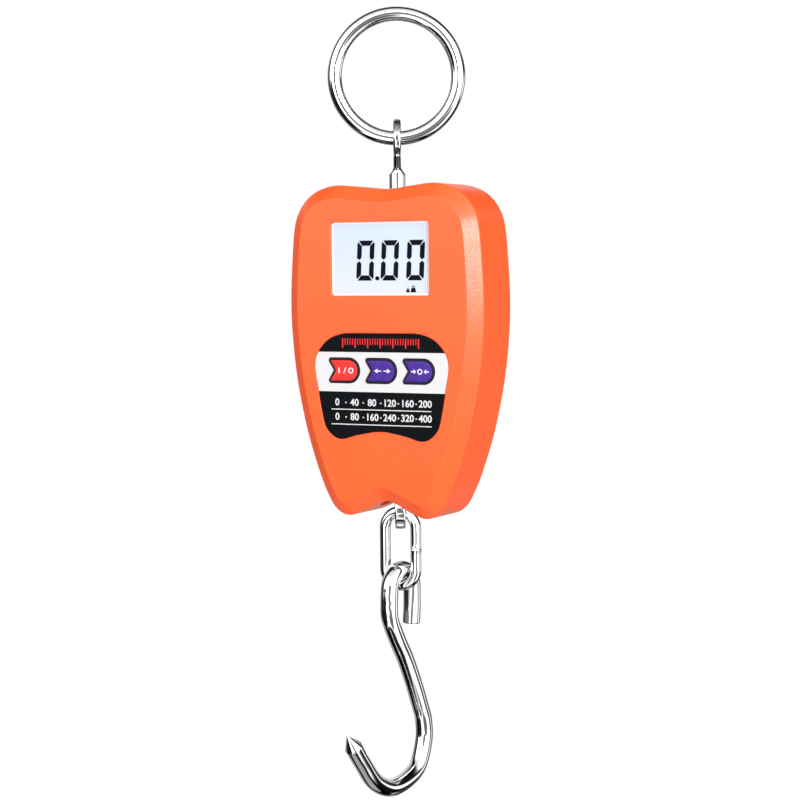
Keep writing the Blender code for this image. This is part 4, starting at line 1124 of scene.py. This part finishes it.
def make_keys(rim_look, face_looks, white):
    for i, name in enumerate(("power", "unit", "tare")):
        x = (i - 1) * KEY_PITCH
        body = name + "_key"
        profile = rounded([(0, 2.6 * MM), (0, 0), (0.72 * MM, 0)], (0.3 * MM,), 5)
        bm = bmesh.new()
        rim = [ring_of(bm, at_depth(key_outline(x, p.x), KEY_FRONT_Y + p.y)) for p in profile]
        skin(bm, rim)
        crown = []
        for inset, lift in KEY_CROWN:
            crown.append(ring_of(bm, at_depth(key_outline(x, inset * MM), KEY_FRONT_Y - lift * MM)))
        skin(bm, [rim[-1], crown[0]])
        skin(bm, crown, slot=1)
        cap(bm, [crown[-1]], (0, -1, 0), slot=1)
        bm.faces.new(rim[0])
        finish_mesh(body + "_cap", bm, [rim_look, face_looks[i]], body, ["key_" + name], SHARP_SOFT)
        shapes = key_mark(name, x + 0.9 * MM, KEY_Z)
        printed(body + "_mark", shapes, white, body, KEY_FRONT_Y - 0.1 * MM, INK_HEIGHT)


def circle_band(x, z, radius, width):
    """A circular stroke, cut by a hairline so that it is one outline."""
    outer = []
    inner = []
    for k in range(29):
        angle = math.radians(359.0 * k / 28)
        for side, points in ((0.5, outer), (-0.5, inner)):
            reach = radius + side * width
            points.append(Vector((x + reach * math.cos(angle), z + reach * math.sin(angle))))
    return outer + inner[::-1]


def arrow(x, z, length, height, direction):
    """A small arrow pointing right (1) or left (-1)."""
    shaft = 0.12 * height
    tip = length / 2
    points = (
        (-tip, -shaft), (-tip, shaft), (0, shaft), (0, height / 2), (tip, 0), (0, -height / 2), (0, -shaft),
    )
    return [Vector((x + direction * px, z + pz)) for px, pz in points]


def key_mark(name, x, z):
    """Signs for a key: bar and circle for power, two arrows for units, arrows towards nought for tare."""
    tall = 1.7 * MM
    stroke = 0.45 * MM
    if name == "power":
        return [
            bar(x - 2.6 * MM, z, 0.5 * MM, 1.9 * MM), bar(x - 0.3 * MM, z, 0.4 * MM, 2.2 * MM, 0.45),
            circle_band(x + 2.2 * MM, z, 0.85 * MM, stroke),
        ]
    if name == "unit":
        return [arrow(x - 1.9 * MM, z, 2.8 * MM, tall, -1), arrow(x + 1.9 * MM, z, 2.8 * MM, tall, 1)]
    return [
        arrow(x - 2.5 * MM, z, 2.1 * MM, tall, 1), circle_band(x, z, 0.8 * MM, stroke),
        arrow(x + 2.5 * MM, z, 2.1 * MM, tall, -1),
    ]


COVER_THICKNESS = 0.8 * MM
PANEL_GAP = 0.1 * MM
DIGIT_PLACES = (-6.4 * MM, 3.45 * MM, 13.7 * MM)
DIGIT_WIDTH = 6.95 * MM
DIGIT_HEIGHT = 14.2 * MM
DIGIT_STROKE = 1.85 * MM
DIGIT_SLANT = 0.05
DIGIT_DROP = -1.05 * MM
DOT_PLACE = -1.65 * MM


def nought(x, z):
    """The six lit strokes of a nought on a seven-stroke digit, each with mitred ends, leaning right."""
    gap = 0.16 * MM
    cut = 0.45 * MM
    w = DIGIT_WIDTH / 2
    h = DIGIT_HEIGHT / 2
    t = DIGIT_STROKE
    top = [(-w + gap + cut, h), (w - gap - cut, h), (w - t, h - t), (-w + t, h - t)]
    side = [
        (-w, h - gap - 2 * cut), (-w + 0.8 * cut, h - gap - 0.9 * cut), (-w + t, h - t - 1.3 * gap),
        (-w + t, t * 0.5 + gap), (-w + t * 0.55, gap * 1.2), (-w, t * 0.4 + gap),
    ]
    strokes = []
    for stroke, mirrors in ((top, ((1, 1), (1, -1))), (side, ((1, 1), (-1, 1), (1, -1), (-1, -1)))):
        for across, up in mirrors:
            strokes.append([
                Vector((x + across * px + DIGIT_SLANT * up * pz, z + up * pz)) for px, pz in stroke
            ])
    return strokes


def make_display(glass, panel, ink_look, rim_look):
    low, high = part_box("lcd_panel")
    window_low, window_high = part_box("display_window")
    outline = box_outline(window_high.x, window_low.z, window_high.z, 0.6 * MM)
    profile = rounded([(0, COVER_THICKNESS), (0, 0), (MM, 0)], (0.18 * MM,), 4)[:-1]
    bm = bmesh.new()
    loft(bm, [at_depth(inset_outline(outline, p.x), window_low.y + p.y) for p in profile])
    finish_mesh("display_cover", bm, glass, "case", ["display_window"], SHARP_METAL)

    panel_y = window_low.y + COVER_THICKNESS + PANEL_GAP
    bm = bmesh.new()
    prism(bm, box_outline(high.x, low.z, high.z, 0.5 * MM), panel_y, high.y)
    finish_mesh("display_panel", bm, panel, "case", ["lcd_panel"], SHARP_METAL)

    centre_z = DISPLAY_Z + DIGIT_DROP
    foot_z = centre_z - DIGIT_HEIGHT / 2
    digits = [stroke for x in DIGIT_PLACES for stroke in nought(x, centre_z)]
    dot_z = foot_z + 0.8 * MM
    digits.append([
        Vector((DOT_PLACE + 0.88 * MM * math.sin(a), dot_z + 0.75 * MM * math.cos(a)))
        for a in turn_angles(20)
    ])
    printed("display_digits", digits, ink_look, "case", panel_y, 0.06 * MM)

    mark_z = foot_z - 4.2 * MM
    mark = []
    for place, size in ((-3.1 * MM, 0.65 * MM), (-1.0 * MM, MM)):
        x = DIGIT_PLACES[2] + place
        weight = ((-1.15, 0), (-0.75, 1.5), (0.75, 1.5), (1.15, 0))
        mark.append([Vector((x + px * size, mark_z + pz * size)) for px, pz in weight])
        mark.append(circle_band(x, mark_z + 1.85 * size, 0.45 * size, 0.3 * size))
    printed("display_unit_mark", mark, ink_look, "case", panel_y, 0.04 * MM)

    reach = DISPLAY_HEIGHT / 2 + 0.4 * MM
    rim = box_outline(DISPLAY_WIDTH / 2 + 0.4 * MM, DISPLAY_Z - reach, DISPLAY_Z + reach, 0.6 * MM)
    rim = [p + WINDOW_SHIFT for p in rim]
    inner = inset_outline(rim, MM)
    front_y = panel_y - 0.08 * MM
    rear_y = panel_y + 0.02 * MM
    bm = bmesh.new()
    levels = ((rim, front_y), (inner, front_y), (rim, rear_y), (inner, rear_y))
    front_outer, front_inner, rear_outer, rear_inner = [ring_of(bm, at_depth(p, y)) for p, y in levels]
    skin(bm, [front_outer, front_inner, rear_inner, rear_outer, front_outer])
    finish_mesh("display_rim", bm, rim_look, "case", (), SHARP_METAL)


# ---------------------------------------------------------------- finishes of the pieces inside

def paint(look, *names):
    """Gives CAD nodes a material in place of their own."""
    for name in names:
        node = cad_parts[name]
        node.data.materials.clear()
        node.data.materials.append(look)
        for face in node.data.polygons:
            face.material_index = 0


def board_look():
    """Green solder mask with paler tracks and small gold pads."""
    look = Look("board_green", (0.02, 0.20, 0.08), 0.35)
    flat = look.add("Mapping", {"Rotation": (math.pi / 2, 0, 0), "Vector": look.place}).outputs["Vector"]
    brick = look.add("TexBrick", {
        "Scale": 260, "Mortar Size": 0.035, "Mortar": (0.05, 0.32, 0.14, 1),
        "Color1": (0.015, 0.17, 0.07, 1), "Color2": (0.02, 0.21, 0.09, 1), "Vector": flat,
    })
    pads = look.fit(look.cells(420), 1, 0, 0.10, 0.13)
    look.set_colour(look.blend(pads, brick.outputs["Color"], (0.75, 0.55, 0.2)))
    look.bump(brick.outputs["Fac"], 0.00003)
    return look.material


def battery_look():
    """A plain dark sleeve with a copper-coloured band and bare ends."""
    look = Look("battery_sleeve", (0.03, 0.05, 0.09), 0.3, 0.2)
    across = calculate(look.tree, "ABSOLUTE", look.along("X"))
    band = look.fit(across, 0, 1, 13.0 * MM, 13.1 * MM)
    end = look.fit(across, 0, 1, 22.6 * MM, 22.7 * MM)
    sleeve = look.blend(band, (0.025, 0.04, 0.075), (0.72, 0.38, 0.13))
    look.set_colour(look.blend(end, sleeve, (0.75, 0.75, 0.76)))
    look.set_roughness(look.fit(look.noise(500, 3), 0.24, 0.4))
    look.bump(look.noise(900, 2), 0.000008)
    return look.material


def paint_inside(steel, dark):
    """Materials for the CAD nodes that have no visual piece."""
    paint(steel, "top_yoke", "top_yoke_bolt", "top_lock_nut", "bottom_yoke", "bottom_yoke_bolt",
          "bottom_lock_nut", "contact_spring_1", "contact_spring_2", "contact_plate_left",
          "contact_plate_right", *[f"board_screw_{i + 1}" for i in range(4)])
    paint(plated("cell_alloy", (0.72, 0.73, 0.75), 0.38), "load_cell")
    paint(plated("turned_brass", (0.74, 0.54, 0.22), 0.25), "top_thrust_washer", "bottom_thrust_washer")
    paint(dark, "lcd_frame", "controller_chip", "amplifier_chip", "buzzer", "top_bush", "battery_tray",
          "switch_power", "switch_unit", "switch_tare")
    paint(plastic("soft_seal", (0.02, 0.02, 0.02), 0.8, 0.00004, 1500, 0.3), "case_seal")
    paint(plastic("white_nylon", (0.78, 0.78, 0.75), 0.5), "plunger_power", "plunger_unit", "plunger_tare")
    paint(plastic("backlight_white", (0.92, 0.94, 1.0), 0.4), "backlight_panel")
    paint(plastic("red_sleeve", (0.5, 0.015, 0.015), 0.4), "battery_lead_red")
    paint(plastic("black_sleeve", (0.02, 0.02, 0.02), 0.4), "battery_lead_black")
    paint(plastic("grey_sleeve", (0.25, 0.25, 0.27), 0.5), "load_cell_cable")
    paint(plastic("gauge_film", (0.72, 0.42, 0.10), 0.5), "strain_gauge_1", "strain_gauge_2")
    paint(board_look(), "main_board")
    paint(battery_look(), "battery_1", "battery_2")


# ---------------------------------------------------------------- looks of the outside

def label_look():
    """Satin film: black, with a white band across the keys."""
    look = Look("label_film", (0.02, 0.02, 0.02), 0.35, specular=0.06)
    black = (0.004, 0.005, 0.006)
    white = (0.63, 0.62, 0.63)
    look.set_colour(level_split(look, (BAND_TOP_Z, BAND_LOW_Z), (black, white, black)))
    look.set_roughness(look.fit(look.noise(700, 3), 0.28, 0.38))
    look.bump(look.noise(1800, 2), 0.000004)
    return look.material


def ink(name, colour, roughness=0.4):
    """Screen-printed ink, nearly matt."""
    look = Look(name, colour, roughness, specular=0.1)
    look.vary(0.04, 500)
    look.bump(look.noise(2500, 2), 0.000004)
    return look.material


def key_look(name, colour):
    """Satin moulded key with faint mottling."""
    look = Look(name, colour, 0.35, specular=0.15)
    look.vary(0.12, 350)
    look.set_roughness(look.fit(look.noise(900, 2), 0.3, 0.42))
    look.bump(look.noise(2200, 2), 0.000012)
    return look.material


def panel_look():
    """Lit liquid crystal: pale blue-white, a little more violet towards its upper left."""
    look = Look("crystal_panel", (0.60, 0.65, 0.70), 0.4, specular=0.1)
    left = look.fit(look.along("X"), 1, 0, -20 * MM, 14 * MM)
    up = look.fit(look.along("Z"), 0, 1, DISPLAY_Z - 12 * MM, DISPLAY_Z + 13 * MM)
    pale = look.blend(up, (0.61, 0.66, 0.73), (0.55, 0.63, 0.74))
    colour = look.blend(calculate(look.tree, "MULTIPLY", left, up), pale, (0.53, 0.61, 0.74))
    look.set_colour(colour)
    look.fill(look.shader, {"Emission Color": colour, "Emission Strength": 0.05})
    look.bump(look.noise(3000, 1), 0.000002)
    return look.material


def glass_look():
    """A clear cover with a slight wave."""
    look = Look("clear_cover", (0.02, 0.02, 0.02), 0.05, specular=0.15)
    look.fill(look.shader, {"Alpha": 0.02})
    look.bump(look.noise(60, 1), 0.00001, 0.3)
    return look.material


def floor_look():
    look = Look("pale_floor", (0.93, 0.93, 0.93), 0.8, specular=0.1)
    look.vary(0.004, 6)
    return look.material


FLOOR_Z = -1.1
FLOOR_RADIUS = 1.3


def make_floor():
    bm = bmesh.new()
    bmesh.ops.create_circle(bm, cap_ends=True, radius=FLOOR_RADIUS, segments=96)
    floor = loose("floor", bm)
    floor.data.materials.append(floor_look())
    floor.location = (0, 0, FLOOR_Z)
    hide_from_reflections(floor)


def main():
    make_camera()
    make_world()
    make_area_light("softbox_right", *SOFTBOX_RIGHT)
    hide_from_reflections(make_area_light("softbox_rear", *SOFTBOX_REAR))
    bpy.context.scene.view_settings.view_transform = "Standard"
    make_floor()

    orange = case_plastic()
    bright = chrome_look("bright_chrome").material
    steel = plated("plated_steel", (0.60, 0.60, 0.61), 0.3)
    dark = plastic("black_moulding", (0.03, 0.03, 0.034), 0.45)
    white = ink("white_ink", (0.66, 0.66, 0.68))
    red = ink("red_ink", (0.78, 0.03, 0.035))
    near_black = ink("crystal_dark", (0.001, 0.001, 0.006), 0.5)
    rim = ink("key_rim", (0.015, 0.015, 0.02), 0.35)
    violet = key_look("key_violet_face", (0.060, 0.024, 0.25))
    scarlet = key_look("key_red_face", (0.72, 0.035, 0.030))

    make_ring(bright)
    make_top_eye(steel)
    make_bottom_eye(bright, steel)
    make_link(bright)
    make_hook(bright)
    make_front_case(orange)
    make_rear_case(orange)
    make_cover(orange)
    make_screws(steel)
    make_label(label_look())
    make_label_prints(white, red)
    make_keys(rim, [scarlet, violet, violet], white)
    make_display(glass_look(), panel_look(), near_black, ink("white_rim", (0.95, 0.97, 1.0)))
    paint_inside(steel, dark)


main()
